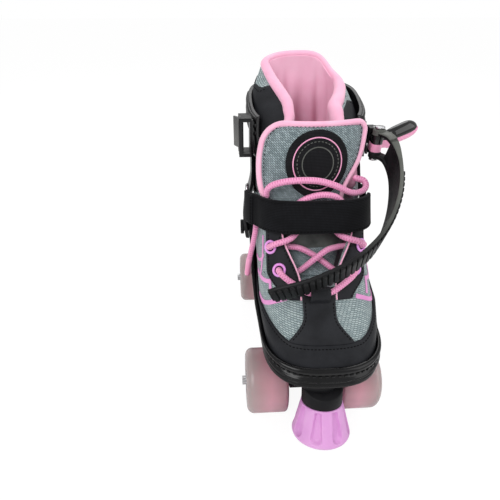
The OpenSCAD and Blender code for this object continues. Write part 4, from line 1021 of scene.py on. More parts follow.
# %% Eyelets
eyelets = []
for t, x in ((5.85, 27), (6.72, 32)):
    for side in HANDS.values():
        th = angle_at(t, side * x)
        out = boot_normal(t, th)
        eyelets.append((boot(t, th) + 2.75 * out, unit(boot(t + 0.05, th) - boot(t - 0.05, th)), out))
repeated("eyelet_rings", ring_tree, eyelets, (10.4, 10.4, 9), eyelet_pink, "boot", "pink_plastic", "eyelets")

# %% [markdown]
# ## Pink strips on the mesh
# Thin welded strips run from the eyestays down to the rand on both sides and brace the mesh like a ladder.
# They are half a millimetre thick, so they are flat ribbons on the last rather than tubes.


# %% Side strips
ACROSS = (-1, -0.5, 0, 0.5, 1)


def ribbon(name, points, width):
    """A flat pink ribbon along stations and angles on the boot."""
    line = smooth_path(points, 8)
    mid = [boot(t, th) for t, th in line]
    outs = [boot_normal(t, th) for t, th in line]
    sides = [np.cross(o, t) for o, t in zip(outs, tangents(mid))]

    def grid(off):
        return [[m + s * k * width / 2 + o * off for m, s, o in zip(mid, sides, outs)] for k in ACROSS]

    dress(between(name, grid, 0.55, 0.05, bevel=0.15), strip_pink, "boot", "pink_lining")


# Stations and angles of each strip's middle, and its width
STRIPS = {
    "band": ([(4.78, 26), (4.55, 40), (4.25, 56), (4.02, 70), (3.95, 84)], 3.4),
    "rung": ([(5.25, 45), (5.1, 56), (5.0, 68), (4.95, 82)], 3.2),
    "post": ([(5.2, 47), (4.95, 48), (4.62, 47)], 2.4),
    "upper": ([(6.2, 56), (5.9, 62), (5.65, 72), (5.5, 84)], 2.4),
    "slant": ([(5.1, 70), (5.6, 64), (6.3, 58), (7.0, 56)], 1.8)}
for hand, side in HANDS.items():
    for label, (points, width) in STRIPS.items():
        ribbon(f"strip_{label}_{hand}", [(t, side * th) for t, th in points], width)
print("side strips:", 2 * len(STRIPS))

# %% Lace keeper
KEEPER_T, KEEPER_HALF = 5, 7
KEEPER_OUT = [[-0.36, 2.5], [-0.25, 7.2], [0, 9.2], [0.2, 7.2], [0.27, 2.5]]
KEEPER_IN = [[-0.27, 2.5], [-0.19, 6.2], [0, 7.8], [0.15, 6.2], [0.19, 2.5]]


def keeper_grid(line):
    return [[stand(KEEPER_T + t, k * KEEPER_HALF, height) for k in ACROSS]
            for t, height in smooth_path(line, 4)]


keeper = between("keeper_loop", keeper_grid, KEEPER_OUT, KEEPER_IN, bevel=0.35)
dress(keeper, leather_black, "boot", "black_webbing", "lace_keeper")
print("lace keeper arch")

# %% [markdown]
# ## Tongue
# The tongue is a padded tab of grey twill with a pink bound edge and a band of dark vinyl under the strap,
# whose darkness is partly painted shade beneath the strap. It is crowned: full in the middle and thin at the
# edge, where the binding folds over it. A cloth simulation could puff it up, but a formula gives the same
# crown in every run. Its round patch is a disc with a bound edge and three rings: pink, stitched and grey.

# %% Padded tongue
# y, height over the sole, half width and middle, from the foot to the top
TONGUE = [[-44, 52, 13, 0], [-39, 58, 16, 0], [-30, 72.5, 22, -2], [-22, 89, 24, -5], [-16.5, 105, 30, -8.5],
          [-10, 123, 36, -4], [-4, 139, 36, -1], [-1, 147, 35, -0.5]]
TONGUE_BOW, TONGUE_HALF, TONGUE_THICK = 9, 35.5, 6.5


def tongue_row(k):
    s = curve(TONGUE, k * (len(TONGUE) - 1))
    return s[0], SOLE_Z + s[1], s[2], s[3]


def tongue_up(k):
    a, b = tongue_row(min(1, k + 0.01)), tongue_row(max(0, k - 0.01))
    return unit([0, a[0] - b[0], a[1] - b[1]])


def tongue_out(k):
    up = tongue_up(k)
    return np.array([0, -up[2], up[1]])


def tongue_at(k, x, deep):
    r = tongue_row(k)
    return np.array([x, r[0] + TONGUE_BOW * ((x - r[3]) / TONGUE_HALF) ** 2, r[1]]) - tongue_out(k) * deep


TONGUE_K = spaced(0, 1, 400)
TONGUE_ARC = [0.0]
for low, high in zip(TONGUE_K[:-1], TONGUE_K[1:]):
    step = math.hypot(tongue_row(high)[0] - tongue_row(low)[0], tongue_row(high)[1] - tongue_row(low)[1])
    TONGUE_ARC.append(TONGUE_ARC[-1] + step)


def tongue_edge(k, side):
    """Half width at a height, with its upper corner rounded, more so on the inner side."""
    corner = 14 if side < 0 else 6
    to_top = TONGUE_ARC[-1] - float(np.interp(k, TONGUE_K, TONGUE_ARC))
    q = max(0.0, 1 - to_top / corner)
    return tongue_row(k)[2] - corner * (1 - math.sqrt(max(0.0, 1 - q ** 2)))


def tongue_grid(front):
    rows = []
    for k in spaced(0, 0.7, 36) + spaced(0.71, 1, 40):
        row = []
        for j in spaced(-1, 1, 32):
            x = tongue_row(k)[3] + j * tongue_edge(k, j)
            thin = 1.7 * abs(j) ** 5 + 1.5 * ease((k - 0.93) / 0.07)
            wave = 0.25 * math.sin(j * 5 + k * 9) * bump(k, 0.9, 0.12)
            row.append(tongue_at(k, x, thin + wave if front else TONGUE_THICK - thin))
        rows.append(row)
    return rows


BEND_K = (0.55, 0.9)
SHADED_VINYL_K = (0.25, 0.47)


def with_cuff(piece):
    """The tongue's head goes with the cuff when the ankle bends, and its foot stays with the boot."""
    low, high = (tuple(tongue_at(k, 0, 3) * MM) for k in BEND_K)
    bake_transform(piece, "boot", "cuff_body", start=low, end=high)
    return piece


def root_grid(deep):
    """Closes the throat between the tongue's foot and the vamp."""
    return [[mix(tongue_at(0.03, x, deep), stand(5.02, x, -1.4 - deep / 2), s) for x in spaced(-12, 12, 12)]
            for s in spaced(0, 1, 6)]


tongue = with_cuff(between("tongue_pad", tongue_grid, True, False, bevel=0.8))
tongue.data.materials.append(twill_grey)
tongue.data.materials.append(shaded_vinyl)
# The band under the instep strap is dark vinyl, darkened further as painted shade beneath the strap.
shade_band_low, shade_band_high = (tongue_at(k, 0, 0)[2] * MM for k in SHADED_VINYL_K)
for face in tongue.data.polygons:
    face.material_index = int(shade_band_low < face.center.z < shade_band_high)
dress(tongue, None, "boot", "grey_mesh", "tongue")
dress(between("tongue_root", root_grid, 2.4, 4.6, bevel=0.3), twill_grey, "boot", "grey_mesh")
print("tongue:", len(tongue.data.polygons), "faces")

# %% Tongue binding
bind_k = spaced(0.36, 0.74, 18) + spaced(0.76, 0.995, 34)
bind_left = [(k, tongue_row(k)[3] - tongue_edge(k, -1)) for k in bind_k]
bind_right = [(k, tongue_row(k)[3] + tongue_edge(k, 1)) for k in reversed(bind_k)]
bind_top = [(1, mix(bind_left[-1][1], bind_right[0][1], s)) for s in spaced(0.04, 0.96, 16)]
bind_line = bind_left + bind_top + bind_right
bind_path = [tongue_at(k, x, 3.2) for k, x in bind_line]
bind_outs = [tongue_out(k) for k, x in bind_line]
binding = with_cuff(tube("tongue_binding", bind_path, 4.6, 7.4, bind_outs, sides=16))
dress(binding, binding_pink, "boot", "pink_lining")
BIND_PITCH, BIND_INSET = 2.8, 2.9
bind_spots = []
for line, inset in ((bind_left, BIND_INSET), (bind_right, -BIND_INSET)):
    route = [tongue_at(k, x + inset, 0.35) for k, x in line]
    bind_spots += row_of_spots(route, [tongue_out(k) for k, x in line], BIND_PITCH)
route = [tongue_at(0.962, x, 0.5) for k, x in bind_top]
bind_spots += row_of_spots(route, [tongue_out(0.96)] * len(bind_top), BIND_PITCH)
repeated("tongue_stitches", stitch_tree, bind_spots, (1.9, 0.6, 0.5), thread_black, "boot", "black_leather",
         first=with_cuff)

# %% Round patch
PATCH_K, PATCH_R, PATCH_BACK, STITCH_RING = 0.715, 22.2, -0.3, 0.66
PATCH_ARC = float(np.interp(PATCH_K, TONGUE_K, TONGUE_ARC))


def patch_spot(ring, th, deep):
    k = float(np.interp(PATCH_ARC + ring * PATCH_R * math.cos(math.radians(th)), TONGUE_ARC, TONGUE_K))
    return tongue_at(k, ring * PATCH_R * math.sin(math.radians(th)), deep)


def patch_rise(ring):
    return 1.35 + 0.35 * bump(ring, 0.94, 0.06) - 0.5 * bump(ring, 0.78, 0.03) + 0.25 * (1 - ring ** 2)


def patch_ring(ring, deep=None):
    """One turn around the patch, on its face unless a depth is given."""
    deep = PATCH_BACK - patch_rise(ring) if deep is None else deep
    return [patch_spot(ring, th, deep) for th in spaced(0, 355, 71)]


patch_sizes = [0.02] + spaced(0.06, 0.98, 30)
patch_rings = [patch_ring(r, PATCH_BACK) for r in patch_sizes]
patch_rings += [patch_ring(1.0, -0.5), patch_ring(1.01, -0.9)]
patch_rings += [patch_ring(r) for r in reversed(patch_sizes)]
patch = settle(lofted("patch_disc", [ring[::-1] for ring in patch_rings]), 50)
layer = patch.data.uv_layers.new(name="cloth")
for loop in patch.data.loops:
    spot = patch.data.vertices[loop.vertex_index].co
    layer.data[loop.index].uv = (spot.x / MM, spot.z / MM)
dress(with_cuff(patch), patch_black, "boot", "black_leather", "tongue_patch")
patch_out = tongue_out(PATCH_K)
for label, size, width, finish, slot in (("pink", 0.78, 1.0, thread_pink, "pink_lining"),
                                         ("grey", 0.5, 0.8, highlight_and_print_grey, "grey_mesh")):
    line = patch_ring(size)
    ring = tube(f"patch_ring_{label}", line, width, 0.7, [patch_out] * len(line), sides=8, closed=True)
    dress(with_cuff(ring), finish, "boot", slot)
patch_stitch = []
for th in spaced(0, 350, 35):
    along = patch_spot(STITCH_RING, th + 1, 0) - patch_spot(STITCH_RING, th, 0)
    patch_stitch.append((patch_spot(STITCH_RING, th, -1.95), along, patch_out))
repeated("patch_stitches", stitch_tree, patch_stitch, (1.9, 0.7, 0.5), highlight_and_print_grey, "boot", "grey_mesh",
         first=with_cuff)

# %% [markdown]
# ## Instep strap
# A wide black hook-and-loop strap crosses the instep. It is sewn down on the outer side, passes a wire ring
# on the inner side, and folds back on itself there. It is flat webbing, so it is a bent sheet with a woven
# finish. Rows of stitches hold its seam and its edges.


# %% Strap, anchor, ring and tab
def strap_lift(th):
    return 3.4 + 4 * ease((-th - 52) / 24)


def strap_grid(extra):
    return boot_grid(spaced(7.5, 8.85, 12), spaced(-76, 56, 66), lambda th: strap_lift(th) + extra)


def fold_grid(extra):
    return boot_grid(spaced(7.52, 8.83, 12), spaced(-75.6, -61, 14), lambda th: strap_lift(th) + extra)


def anchor_grid(off):
    return boot_grid(spaced(7.5, 8.85, 10), spaced(48, 80, 20), off)


webbing = between("instep_webbing", strap_grid, 2.2, 0, bevel=0.45)
dress(webbing, webbing_black, "boot", "black_webbing", "instep_strap")
dress(between("instep_anchor", anchor_grid, 2.6, 0.4, bevel=0.45), webbing_black, "boot", "black_webbing")
dress(between("instep_fold", fold_grid, 3.5, 2.3, bevel=0.4), webbing_black, "boot", "black_webbing")
strap_threads = []
for th in (-62.2, -63.4):
    line = [(t, th) for t in spaced(7.55, 8.8, 10)]
    strap_threads += line_spots(line, 2.2, lambda a: strap_lift(a) + 3.55)
for t in (7.6, 8.75):
    line = [(t, th) for th in spaced(-59, 55, 60)]
    strap_threads += line_spots(line, 2.4, lambda a: strap_lift(a) + 2.25)
repeated("strap_stitches", stitch_tree, strap_threads, (1.7, 0.5, 0.5), thread_black, "boot", "black_webbing")

RING_OFF = strap_lift(-76) + 1.1
corners = [boot(7.38, -77.5, RING_OFF), boot(8.95, -77.5, RING_OFF), boot(8.95, -81.5, RING_OFF - 1),
           boot(7.38, -81.5, RING_OFF - 1)]
ring_path = []
for k in range(4):
    here = corners[k]
    start, end = (here + unit(c - here) * min(2.4, 0.45 * np.linalg.norm(c - here))
                  for c in (corners[k - 1], corners[(k + 1) % 4]))
    ring_path += [start * (1 - s) ** 2 + here * 2 * s * (1 - s) + end * s ** 2 for s in spaced(0, 1, 4)]
dress(tube("strap_wire_ring", ring_path, 2.6, sides=12, closed=True), steel, "boot", "steel", "strap_ring")


def tab_off(th):
    return mix(0.4, RING_OFF - 2, ease((th + 87) / 4))


def tab_grid(extra):
    return boot_grid(spaced(7.65, 8.05, 5), spaced(-87.5, -83, 12), lambda th: tab_off(th) + extra)


tab = between("ring_tab_webbing", tab_grid, 2.2, 0, bevel=0.4)
dress(tab, webbing_black, "boot", "black_webbing", "ring_tab")
print("instep strap with", len(strap_threads), "stitches")

# %% [markdown]
# ## Cuff
# The cuff is a satin black moulding around the ankle. Its two wings reach forward to the buckle and the
# catch, and its lower ends swell over the uprights to the pivot bolts. Grooves cross the wings and ridges run
# along them. The bolts go through real holes, cut with a Boolean, because the cuff turns on them.


# %% Hinged cuff
def cuff_low(th):
    a = side_angle(th)
    return mix(10.5, 6.9, ease((a - 82) / 12)) - 2.1 * bump(a, PIVOT_TH, 9)


def cuff_high(th):
    return 12.85 - 0.2 * ease((side_angle(th) - 90) / 60)


CUFF_WALL = 2.8


def cuff_off(t):
    return 0.4 + 6.9 * ease((9.1 - t) / 2.4)


cuff_angles = spaced(58, 92, 24) + spaced(93, 122, 29)
cuff_angles += spaced(125, 235, 40) + [360 - th for th in reversed(cuff_angles)]


def cuff_point(k, th, outer):
    t = mix(cuff_low(th), cuff_high(th), k)
    a = side_angle(th)
    groove = 0.55 * sum(bump(a, middle, 1.1) for middle in (77, 81, 85)) * ease((k - 0.2) / 0.15)
    groove += 0.5 * bump(k, 0.88, 0.025) * ease((a - 74) / 6)
    return boot(t, th, cuff_off(t) + (CUFF_WALL - groove if outer else 0))


def cuff_grid(outer):
    return [[cuff_point(k, th, outer) for th in cuff_angles] for k in spaced(0, 1, 34)]


cuff = between("cuff_moulding", cuff_grid, True, False, bevel=0.7)
pivot = boot(PIVOT_T, PIVOT_TH)
BOLT_HOLE = 4.05 * MM
drill_mesh = bpy.data.meshes.new("pivot_drill")
drill_shape = bmesh.new()
bmesh.ops.create_cone(drill_shape, cap_ends=True, segments=48, radius1=BOLT_HOLE, radius2=BOLT_HOLE,
                      depth=0.3)
sideways = Matrix.Rotation(math.pi / 2, 3, "Y")
bmesh.ops.rotate(drill_shape, verts=drill_shape.verts, cent=(0, 0, 0), matrix=sideways)
bmesh.ops.translate(drill_shape, verts=drill_shape.verts, vec=(0, pivot[1] * MM, pivot[2] * MM))
drill_shape.to_mesh(drill_mesh)
drill_shape.free()
drill = bpy.data.objects.new("pivot_drill", drill_mesh)
scene.collection.objects.link(drill)
cut = cuff.modifiers.new("holes", "BOOLEAN")
cut.object = drill
cut.operation = "DIFFERENCE"
cut.solver = "EXACT"
settle(cuff, 40)
bpy.data.objects.remove(drill)
dress(cuff, cuff_black, "cuff_body", "black_plastic", "cuff")
for hand, side in HANDS.items():
    for number, t in enumerate((12.62, 12.3, 11.98)):
        line = [(t - 0.1 * number * k, side * mix(108 - 3 * number, 61, k)) for k in spaced(0, 1, 24)]
        route = [boot(q, th, cuff_off(q) + 2.7) for q, th in line]
        outs = [boot_normal(q, th) for q, th in line]
        ridge = tube(f"cuff_ridge_{hand}_{number + 1}", route, 3.4, 3.2, outs, sides=12)
        dress(ridge, cuff_black, "cuff_body", "black_plastic")
print("cuff:", len(cuff.data.polygons), "faces")

# %% [markdown]
# ## Collar and lining
# Above the strap the boot is a padded collar. Outside it has black leather side panels under a grey mesh top,
# and inside a brushed pink lining that creases at the back of the ankle. The lining rolls over the rim. These
# pads ride with the cuff, and a soft gusset bends between the foot and the collar as the ankle flexes.


# %% Collar panels
FRONT, CORNER, CORNER_LOW = 30, 24, 11.9
COLLAR_LOW, COLLAR_MID = 8.7, 12.5
# Angles, and the station of the leather's upper edge at each
PANEL = ([30, 78, 88, 100, 112, 130, 150, 180], [13.9, 13.9, 13.4, 13.2, 13.3, 13.15, 12.9, 12.7])


def collar_front(t):
    return mix(68, FRONT, ease((t - 9.4) / 2.4))


def outer_side(th):
    """1 on the outer side, where the rim is lower, and 0 on the inner side."""
    return ease((178 - th) / 68)


def rim_top(th):
    """The rim is lower on the outer side, and rounds down behind the tongue in front."""
    q = min(1.0, max(0.0, (side_angle(th) - FRONT) / CORNER))
    return mix(CORNER_LOW, 13.95 - 0.7 * outer_side(th), math.sqrt(1 - (1 - q) ** 2))


def panel_line(th):
    return min(rim_top(th) - 0.1, float(np.interp(side_angle(th), *PANEL)) - 0.62 * outer_side(th))


def seam_line(th):
    return panel_line(th) - 0.12


def front_of(t, s):
    """The angle at a share s of the way round the collar, from its outer front edge to its inner one."""
    return mix(collar_front(t), 360 - collar_front(t), s)


def collar_grid(low, high, off, rows):
    grid = []
    for k in spaced(0, 1, rows):
        row = []
        for s in spaced(0, 1, 96):
            th = front_of(COLLAR_MID, s)
            t = mix(low(th), high(th), k)
            row.append(ankle(t, front_of(t, s), off))
        grid.append(row)
    return grid


def panel_grid(off):
    return collar_grid(lambda th: COLLAR_LOW, panel_line, off, 30)


def crown_grid(off):
    return collar_grid(seam_line, lambda th: rim_top(th) - 0.05, off, 10)


panel = between("collar_panels", panel_grid, 0, -2.5, bevel=0.4)
dress(panel, leather_black, "cuff_body", "black_leather", "collar")
crown = between("collar_crown", crown_grid, -0.7, -2.5, bevel=0.3)
dress(crown, mesh_grey, "cuff_body", "grey_mesh")
collar_path, collar_outs = [], []
for s in spaced(0.17, 0.83, 100):
    t = seam_line(front_of(COLLAR_MID, s))
    collar_path.append(ankle(t, front_of(t, s), 0.05))
    collar_outs.append(boot_normal(t, front_of(t, s)))
repeated("collar_stitches", stitch_tree, row_of_spots(collar_path, collar_outs, 2.6), (1.8, 0.6, 0.5),
         thread_black, "cuff_body", "black_leather")
print("collar panels and crown")

# %% Lining with its creases
# Angle, half width and depth of each crease
CREASES = [(134, 4.5, 0.9), (158, 4.2, 2.4), (178, 3.6, 2.0), (195, 3.6, 2.4), (209, 3.2, 2.4), (221, 3, 2.0)]


def crease(t, th):
    """Depth of the creases at a spot of the lining."""
    depth = 0.0
    for middle, half, deep in CREASES:
        lean = 2.2 * math.sin((t - 9) * 0.9 + middle)
        fade = ease((13.6 - t) / 2.6) * (0.6 + 0.4 * ease((t - COLLAR_LOW) / 1.2))
        depth += deep * bump(th + lean, middle, half) * fade
    return depth


def lining_depth(t):
    return 2.8 + 7 * mix(1, 0.45, ease((t - 12) / 2))


lining_outer, lining_inner, lining_crease_shade = [], [], []
for k in spaced(0, 1, 48):
    spots = [(mix(COLLAR_LOW, rim_top(front_of(COLLAR_MID, s)), k), s) for s in spaced(0, 1, 132)]
    spots = [(t, front_of(t, s)) for t, s in spots]
    deep = [crease(t, th) for t, th in spots]
    puff = [0.5 * math.sin(th * 0.21 + t) * ease((13.4 - t) / 2) for t, th in spots]
    lining_outer.append([ankle(t, th, -2.75) for t, th in spots])
    lining_inner.append([ankle(t, th, d - p - lining_depth(t)) for (t, th), d, p in zip(spots, deep, puff)])
    # Painted shade: the lining is darker in its creases and towards the foot inside the collar, where shade
    # falls.
    lining_crease_shade += [min(1.0, 0.32 * d + 0.2 * ease((10.5 - t) / 2)) for d, (t, th) in zip(deep, spots)]
lining = sheet("lining_pad", lining_outer, lining_inner, bevel=0.6, crease_shades=lining_crease_shade + lining_crease_shade, sharp=60)
dress(lining, lining_pink, "cuff_body", "pink_lining", "liner")
print("lining:", len(lining.data.polygons), "faces,", len(CREASES), "creases")

# %% Rolled rim
turn = [FRONT + CORNER * (1 - math.cos(math.radians(p))) for p in spaced(8, 90, 14)]
rim_angles = turn + spaced(FRONT + CORNER + 2, 358 - FRONT - CORNER, 110)
rim_angles += [360 - th for th in reversed(turn)]
rise = [(t, collar_front(t)) for t in spaced(8.9, CORNER_LOW, 22)]
roll = rise + [(rim_top(th), th) for th in rim_angles] + [(t, 360 - th) for t, th in reversed(rise)]


def roll_middle(t):
    return -(lining_depth(t) + 0.2) / 2


roll_path = [ankle(t, th, roll_middle(t) - 2.2 * ease((130 - th) / 70)) for t, th in roll]
roll_outs = [unit(ankle(t, th, 1) - ankle(t, th, -1)) for t, th in roll]
roll_sizes = [mix(1.1 if th > 180 else 1.4, 0.66, ease((side_angle(th) - 65) / 70)) for t, th in roll]
rim = tube("rim_roll", roll_path, 6.6, 7.6, roll_outs, sides=16, sizes=roll_sizes)
dress(rim, binding_pink, "cuff_body", "pink_lining")
print("rolled rim:", round(path_length(roll_path)), "mm")

# %% Ankle gusset
gusset_angles = spaced(40, 320, 90)
gusset_rows = spaced(7.9, 9.1, 10)
gusset_out = [[boot(t, th, -2.7 - 0.5 * bump(t, 8.45, 0.3)) for th in gusset_angles] for t in gusset_rows]
gusset = sheet("ankle_gusset", gusset_out, boot_grid(gusset_rows, gusset_angles, -4.2), bevel=0.3)
low_end, high_end = boot(8.15, 180) * MM, boot(8.75, 180) * MM
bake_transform(gusset, "boot", "cuff_body", start=tuple(low_end), end=tuple(high_end))
dress(gusset, twill_grey, "boot", "grey_mesh")
print("ankle gusset bends between boot and cuff")

# %% Insole
insole_outline = [boot(0.4, th, -4.5) for th in ring_angles]
insole_low, insole_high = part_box("insole")[0].z / MM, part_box("insole")[1].z / MM
middle = np.mean(insole_outline, axis=0)
rings = []
for share, z in ((0.3, insole_low), (1, insole_low), (1.0, insole_high - 1), (0.97, insole_high),
                 (0.75, insole_high - 0.6), (0.4, insole_high - 1), (0.05, insole_high - 1)):
    rings.append([np.array([*mix(middle[:2], p[:2], share), z]) for p in insole_outline])
insole = settle(lofted("insole_pad", rings), 50)
dress(insole, lining_pink, "boot", "pink_lining", "insole")
print("insole between", round(insole_low, 1), "and", round(insole_high, 1))

# %% [markdown]
# ## Ladder strap
# The toothed strap hangs free from its rivet on the lever and curls down across the boot. Its root is a fork
# with thick rails around the lever, and the rest carries square teeth. The band is swept along the route of
# the CAD solid with a channel section, and the repeat tree sets the teeth on it. Its top edge and upper eye
# are painted paler grey, a painted highlight where the light falls from above.

# %% Route of the strap
LADDER = [[0, 0, 0], [5.5, -9, -1.5], [7.5, -20, -8], [6.5, -33, -17], [2, -47, -27], [-6, -60.5, -37],
          [-17, -71.5, -45.5], [-31, -79, -53], [-47, -83, -59.5], [-63, -85, -65], [-84, -84, -71.5]]
RIVET = np.array([47.029, 10.005, 193.631])
OUT_ROOT, OUT_TIP = np.array([1, 0.1, 0.05]), np.array([-0.1, -0.87, -0.5])
STEPS = 192
band_path = [RIVET + curve(LADDER, k / STEPS * (len(LADDER) - 1)) for k in range(STEPS + 1)]
band_ts = tangents(band_path)


def band_frame(k):
    """Directions out of the band and across it, downward, at a step of the route."""
    out = mix(OUT_ROOT, OUT_TIP, ease((k / STEPS - 0.2) / 0.5))
    out = unit(out - band_ts[k] * np.dot(out, band_ts[k]))
    return out, np.cross(out, band_ts[k])


def band_half(k):
    s = k / STEPS
    return 10 * (1 - 0.1 * (1 - ease(s / 0.12)) - 0.12 * ease((s - 0.96) / 0.04))


def rail_half(k):
    return mix(3.6, 1.3, ease((k / STEPS - 0.02) / 0.24))


# %% Band, fork, eyes and teeth
SOFT = ((0, -0.8), (0.25, -0.25), (0.8, 0))


def bar(low, high, r, inside=()):
    """A section with soft corners from one edge to the other, as across and out, mirrored for its back."""
    upper = [(low + a, r + b) for a, b in SOFT] + [*inside] + [(high - a, r + b) for a, b in reversed(SOFT)]
    return upper + [(a, -b) for a, b in reversed(upper)]


def channel(half, r):
    return bar(-half, half, r, [(-half + 2.3, r), (-half + 3.1, 1.3), (half - 3.1, 1.3), (half - 2.3, r)])


def swept(name, first, last, section):
    """Sweeps a section along the strap, with the faces of its upper edge in the second finish, a painted
    highlight.
    """
    rings, edge = [], []
    for k in range(first, last + 1):
        out, side = band_frame(k)
        shape = section(k)
        low = min(a for a, b in shape)
        near = [a < low + 0.9 for a, b in shape]
        edge = [near[j] and near[(j + 1) % len(near)] for j in range(len(near))]
        rings.append([band_path[k] + side * a + out * b for a, b in shape])
    piece = settle(lofted(name, rings), 45)
    piece.data.materials.append(tooth_black)
    piece.data.materials.append(edge_highlight_grey)
    for face in piece.data.polygons:
        if face.index < (len(rings) - 1) * len(edge):
            face.material_index = int(edge[face.index % len(edge)])
    return piece


ARM_FROM, ARM_TO, ARM_IN, BAND_FROM = 5, 24, 6.7, 21
band = swept("ladder_band", BAND_FROM, STEPS, lambda k: channel(band_half(k), rail_half(k)))
dress(band, None, "strap_body", "black_plastic", "ladder_strap")
upper_arm = swept("ladder_arm_upper", ARM_FROM, ARM_TO, lambda k: bar(-band_half(k), -ARM_IN, rail_half(k)))
dress(upper_arm, None, "strap_body", "black_plastic")
lower_arm = swept("ladder_arm_lower", ARM_FROM, ARM_TO, lambda k: bar(ARM_IN, band_half(k), rail_half(k)))
dress(lower_arm, tooth_black, "strap_body", "black_plastic")


def washer(name, low, high, inner, outer):
    """A round eye about the rivet with softened rims."""
    soft = 0.6
    section = [(inner, high), (outer - soft, high), (outer, high - soft), (outer, low + soft),
               (outer - soft, low), (inner, low)]
    turns = [2 * math.pi * i / 40 for i in range(40)]
    rings = [[RIVET + [r * math.cos(a), r * math.sin(a), z] for r, z in section] for a in turns]
    return settle(lofted(name, rings, closed=True), 35)


# The upper eye is painted grey as a painted highlight. The lower eye keeps the strap's black.
dress(washer("ladder_eye_upper", 5.7, 10, 2.1, 4.5), highlight_and_print_grey, "strap_body", "black_plastic")
dress(washer("ladder_eye_lower", -10, -5.7, 2.1, 4.5), tooth_black, "strap_body", "black_plastic")
tooth_range = range(52, 191)
tooth_outs = [band_frame(k)[0] for k in tooth_range]
teeth = row_of_spots([band_path[k] + out * 1.5 for k, out in zip(tooth_range, tooth_outs)], tooth_outs, 4.2)
repeated("ladder_teeth", block_tree, teeth, (3.4, 18.8, 2.2), tooth_black, "strap_body", "black_plastic")
print("ladder strap:", round(path_length(band_path)), "mm with", len(teeth), "teeth")

# %% [markdown]
# ## Hard parts from the frame
# Brackets, trucks, bolts and the base plate have the right shape in the CAD model. The ones that show get a
# copy with softened edges, since nothing moulded has a knife edge. The lever's grip and the toe stop get
# rounder forms of their own. The rest keep the CAD mesh and only take a better finish.

# %% Softened copies
BODY_OF = {name: body for body, names in frame["record"]["behaviour"]["bodies"].items() for name in names}


def softened(node_name, width, finish, slot, segments=2, trim=None):
    """A copy of a CAD solid with its doubles merged, trimmed if asked, and its sharp edges rounded."""
    mesh = frame["nodes"][node_name].data.copy()
    shape = bmesh.new()
    shape.from_mesh(mesh)
    bmesh.ops.remove_doubles(shape, verts=shape.verts, dist=2e-6)
    bmesh.ops.dissolve_limit(shape, angle_limit=math.radians(1), verts=shape.verts, edges=shape.edges)
    if trim:
        trim(shape)
    shape.to_mesh(mesh)
    shape.free()
    piece = bpy.data.objects.new(node_name + "_soft", mesh)
    scene.collection.objects.link(piece)
    round_edges(piece, width, segments, 38, 38)
    return dress(piece, finish, BODY_OF[node_name], slot, node_name)


for name, width, finish, slot, segments in (
        ("lever_bracket", 0.6, cuff_black, "black_plastic", 2),
        ("catch_body", 0.8, cuff_black, "black_plastic", 3),
        ("catch_tab", 0.5, catch_dark, "grey_plastic", 2),
        ("toe_stop_holder", 0.8, frame_black, "black_plastic", 2),
        ("truck_front", 0.8, frame_black, "black_plastic", 2),
        ("truck_rear", 0.8, frame_black, "black_plastic", 2),
        ("base_plate", 0.7, frame_black, "black_plastic", 2),
        ("cuff_bolts", 0.6, frame_black, "black_plastic", 2),
        ("strap_rivet", 0.4, steel, "steel", 2)):
    softened(name, width, finish, slot, segments)
print("softened hard parts")

# %% Lever root and grip
HINGE = np.array([47.529, 19.805, 193.631])
GRIP_RISE, GRIP_TURN = math.radians(14), math.radians(8)
GRIP_KNEE, GRIP_CUT = 8, 12


def grip_at(x, y, z):
    """A point in the lever's own directions: x along the grip from the hinge, z up."""
    along = GRIP_KNEE + (x - GRIP_KNEE) * math.cos(GRIP_RISE) - z * math.sin(GRIP_RISE)
    up = (x - GRIP_KNEE) * math.sin(GRIP_RISE) + z * math.cos(GRIP_RISE)
    return HINGE + [along * math.cos(GRIP_TURN) - y * math.sin(GRIP_TURN),
                    along * math.sin(GRIP_TURN) + y * math.cos(GRIP_TURN), up]


def root_only(shape):
    """Cuts the grip off a copy of the lever, and draws the line where its root turns from pink to black."""
    cut_at = grip_at(GRIP_CUT, 0, 0)
    way = unit(grip_at(GRIP_CUT + 1, 0, 0) - cut_at)
    bmesh.ops.bisect_plane(shape, geom=whole(shape), plane_co=tuple(cut_at * MM), plane_no=tuple(way),
                           clear_outer=True)
    bmesh.ops.holes_fill(shape, edges=[e for e in shape.edges if e.is_boundary], sides=0)
    bmesh.ops.bisect_plane(shape, geom=whole(shape), plane_co=(0, 0, HINGE[2] * MM), plane_no=(0, 0, 1))


def grip(name, first, last, wide, top, low, bulge):
    """A rounded grip: an oval section along the lever with soft ends."""
    rings = []
    for k in range(1, 32):
        s = k / 32
        x = mix(first, last, (1 - math.cos(math.pi * s)) / 2)
        full = (1 - abs(math.cos(math.pi * s)) ** 3) ** 0.5
        middle = float(np.interp(x, [9, 14, 30.5], [-0.5, -1, 1.5]))
        swell = 1 + bulge * bump(x, 29, 7)
        rings.append([grip_at(x, middle + wide * full * math.cos(a),
                              (top if math.sin(a) > 0 else low) * full * swell * math.sin(a))
                      for a in spaced(0, 2 * math.pi * 27 / 28, 27)])
    return settle(lofted(name, rings), 60)


root = softened("lever", 1.2, pink_hard, "pink_plastic", 3, root_only)
root.data.materials.append(cover_black)
for face in root.data.polygons:
    face.material_index = int(face.center.z > HINGE[2] * MM)
dress(grip("lever_grip_pink", 9, 36.4, 4.7, 2, 6.2, 0.0), pink_hard, "lever_body", "pink_plastic")
black_grip = grip("lever_grip_black", 7, 35.6, 5.2, 6.8, 1.6, 0.08)
dress(black_grip, cover_black, "lever_body", "gloss_black", "lever_cover")
print("lever: root and grip")

# %% Fluted toe stop
STOP_TOP, STOP_TILT = np.array([2.4, -97, 54]), math.radians(157)
STOP_AXIS = np.array([0, -math.sin(STOP_TILT), math.cos(STOP_TILT)])
STOP_SIDE = np.array([0, math.cos(STOP_TILT), math.sin(STOP_TILT)])
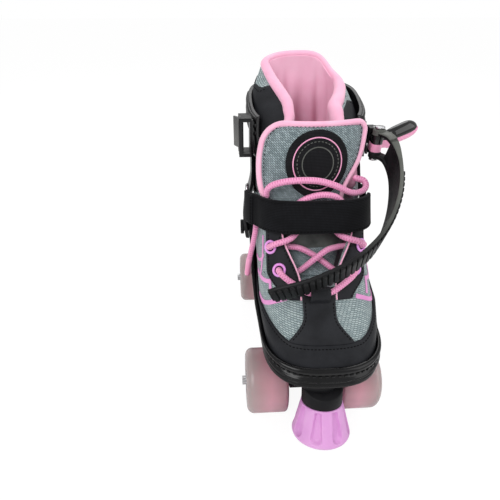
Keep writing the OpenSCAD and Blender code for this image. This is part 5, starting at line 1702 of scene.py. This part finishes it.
# The way down to the rubber, the height of its wall, the radius at its foot, and the turn between flutes
STOP_DROP, STOP_BEND, STOP_ROUND, FLUTE_TURN = 15, 25, 5, 45
STOP_WALL = [(15.2, 0), (15.6, 0.15), (15.9, 0.6)]
STOP_WALL += [(15.8 + 0.258 * z, z) for z in spaced(1.2, STOP_BEND, 34)]
STOP_WALL += [(17.25 + STOP_ROUND * math.cos(a), STOP_BEND + STOP_ROUND * math.sin(a))
              for a in spaced(0.15, math.pi / 2, 9)]
STOP_REST = [(12, 30), (8.4, 30), (7.9, 29.5), (7.9, 21.2), (4.1, 21.2), (4.1, 0)]


def flute(r, z, turn):
    """How deep the nearest of the eight round-ended flutes is at a spot."""
    half = mix(2.1, 4.6, z / STOP_BEND)
    away = r * math.radians((turn + FLUTE_TURN / 2) % FLUTE_TURN - FLUTE_TURN / 2)
    below = max(0.0, z - 19.8)
    q = (away ** 2 + below ** 2) / half ** 2
    return 3.3 * ease((z - 0.8) / 2.5) * max(0.0, 1 - q ** 3) ** 0.5


stop_rings = []
for r, z in STOP_WALL + STOP_REST:
    fluted = (r, z) in STOP_WALL and z <= STOP_BEND
    level = STOP_TOP + STOP_AXIS * (STOP_DROP + z)
    ring = []
    for turn in spaced(0, 358.5, 239):
        a = math.radians(turn)
        reach = r - (flute(r, z, turn - FLUTE_TURN / 2) if fluted else 0)
        ring.append(level + np.array([reach * math.cos(a), 0, 0]) + STOP_SIDE * reach * math.sin(a))
    stop_rings.append(ring)
stop = settle(lofted("toe_stop_fluted", stop_rings, closed=True), 45)
dress(stop, stop_orchid, "boot", "orchid_rubber", "toe_stop")
print("toe stop with", len(stop.data.polygons), "faces")

# %% Finishes for the solids that stay
STAY = {"axle_": steel, "kingpin_": steel, "toe_stop_bolt": steel, "lever_pin": steel, "bearings_": steel,
        "inner_rings_": steel, "tyre_": tyre_mauve, "core_": core_pink, "pivot_cups": frame_black,
        "cushions_": cushion_pink}
kept = [(name, finish) for name in frame["nodes"] for start, finish in STAY.items() if name.startswith(start)]
for name, finish in kept:
    for place in frame["nodes"][name].material_slots:
        place.material = finish
print("kept solids:", len(kept))
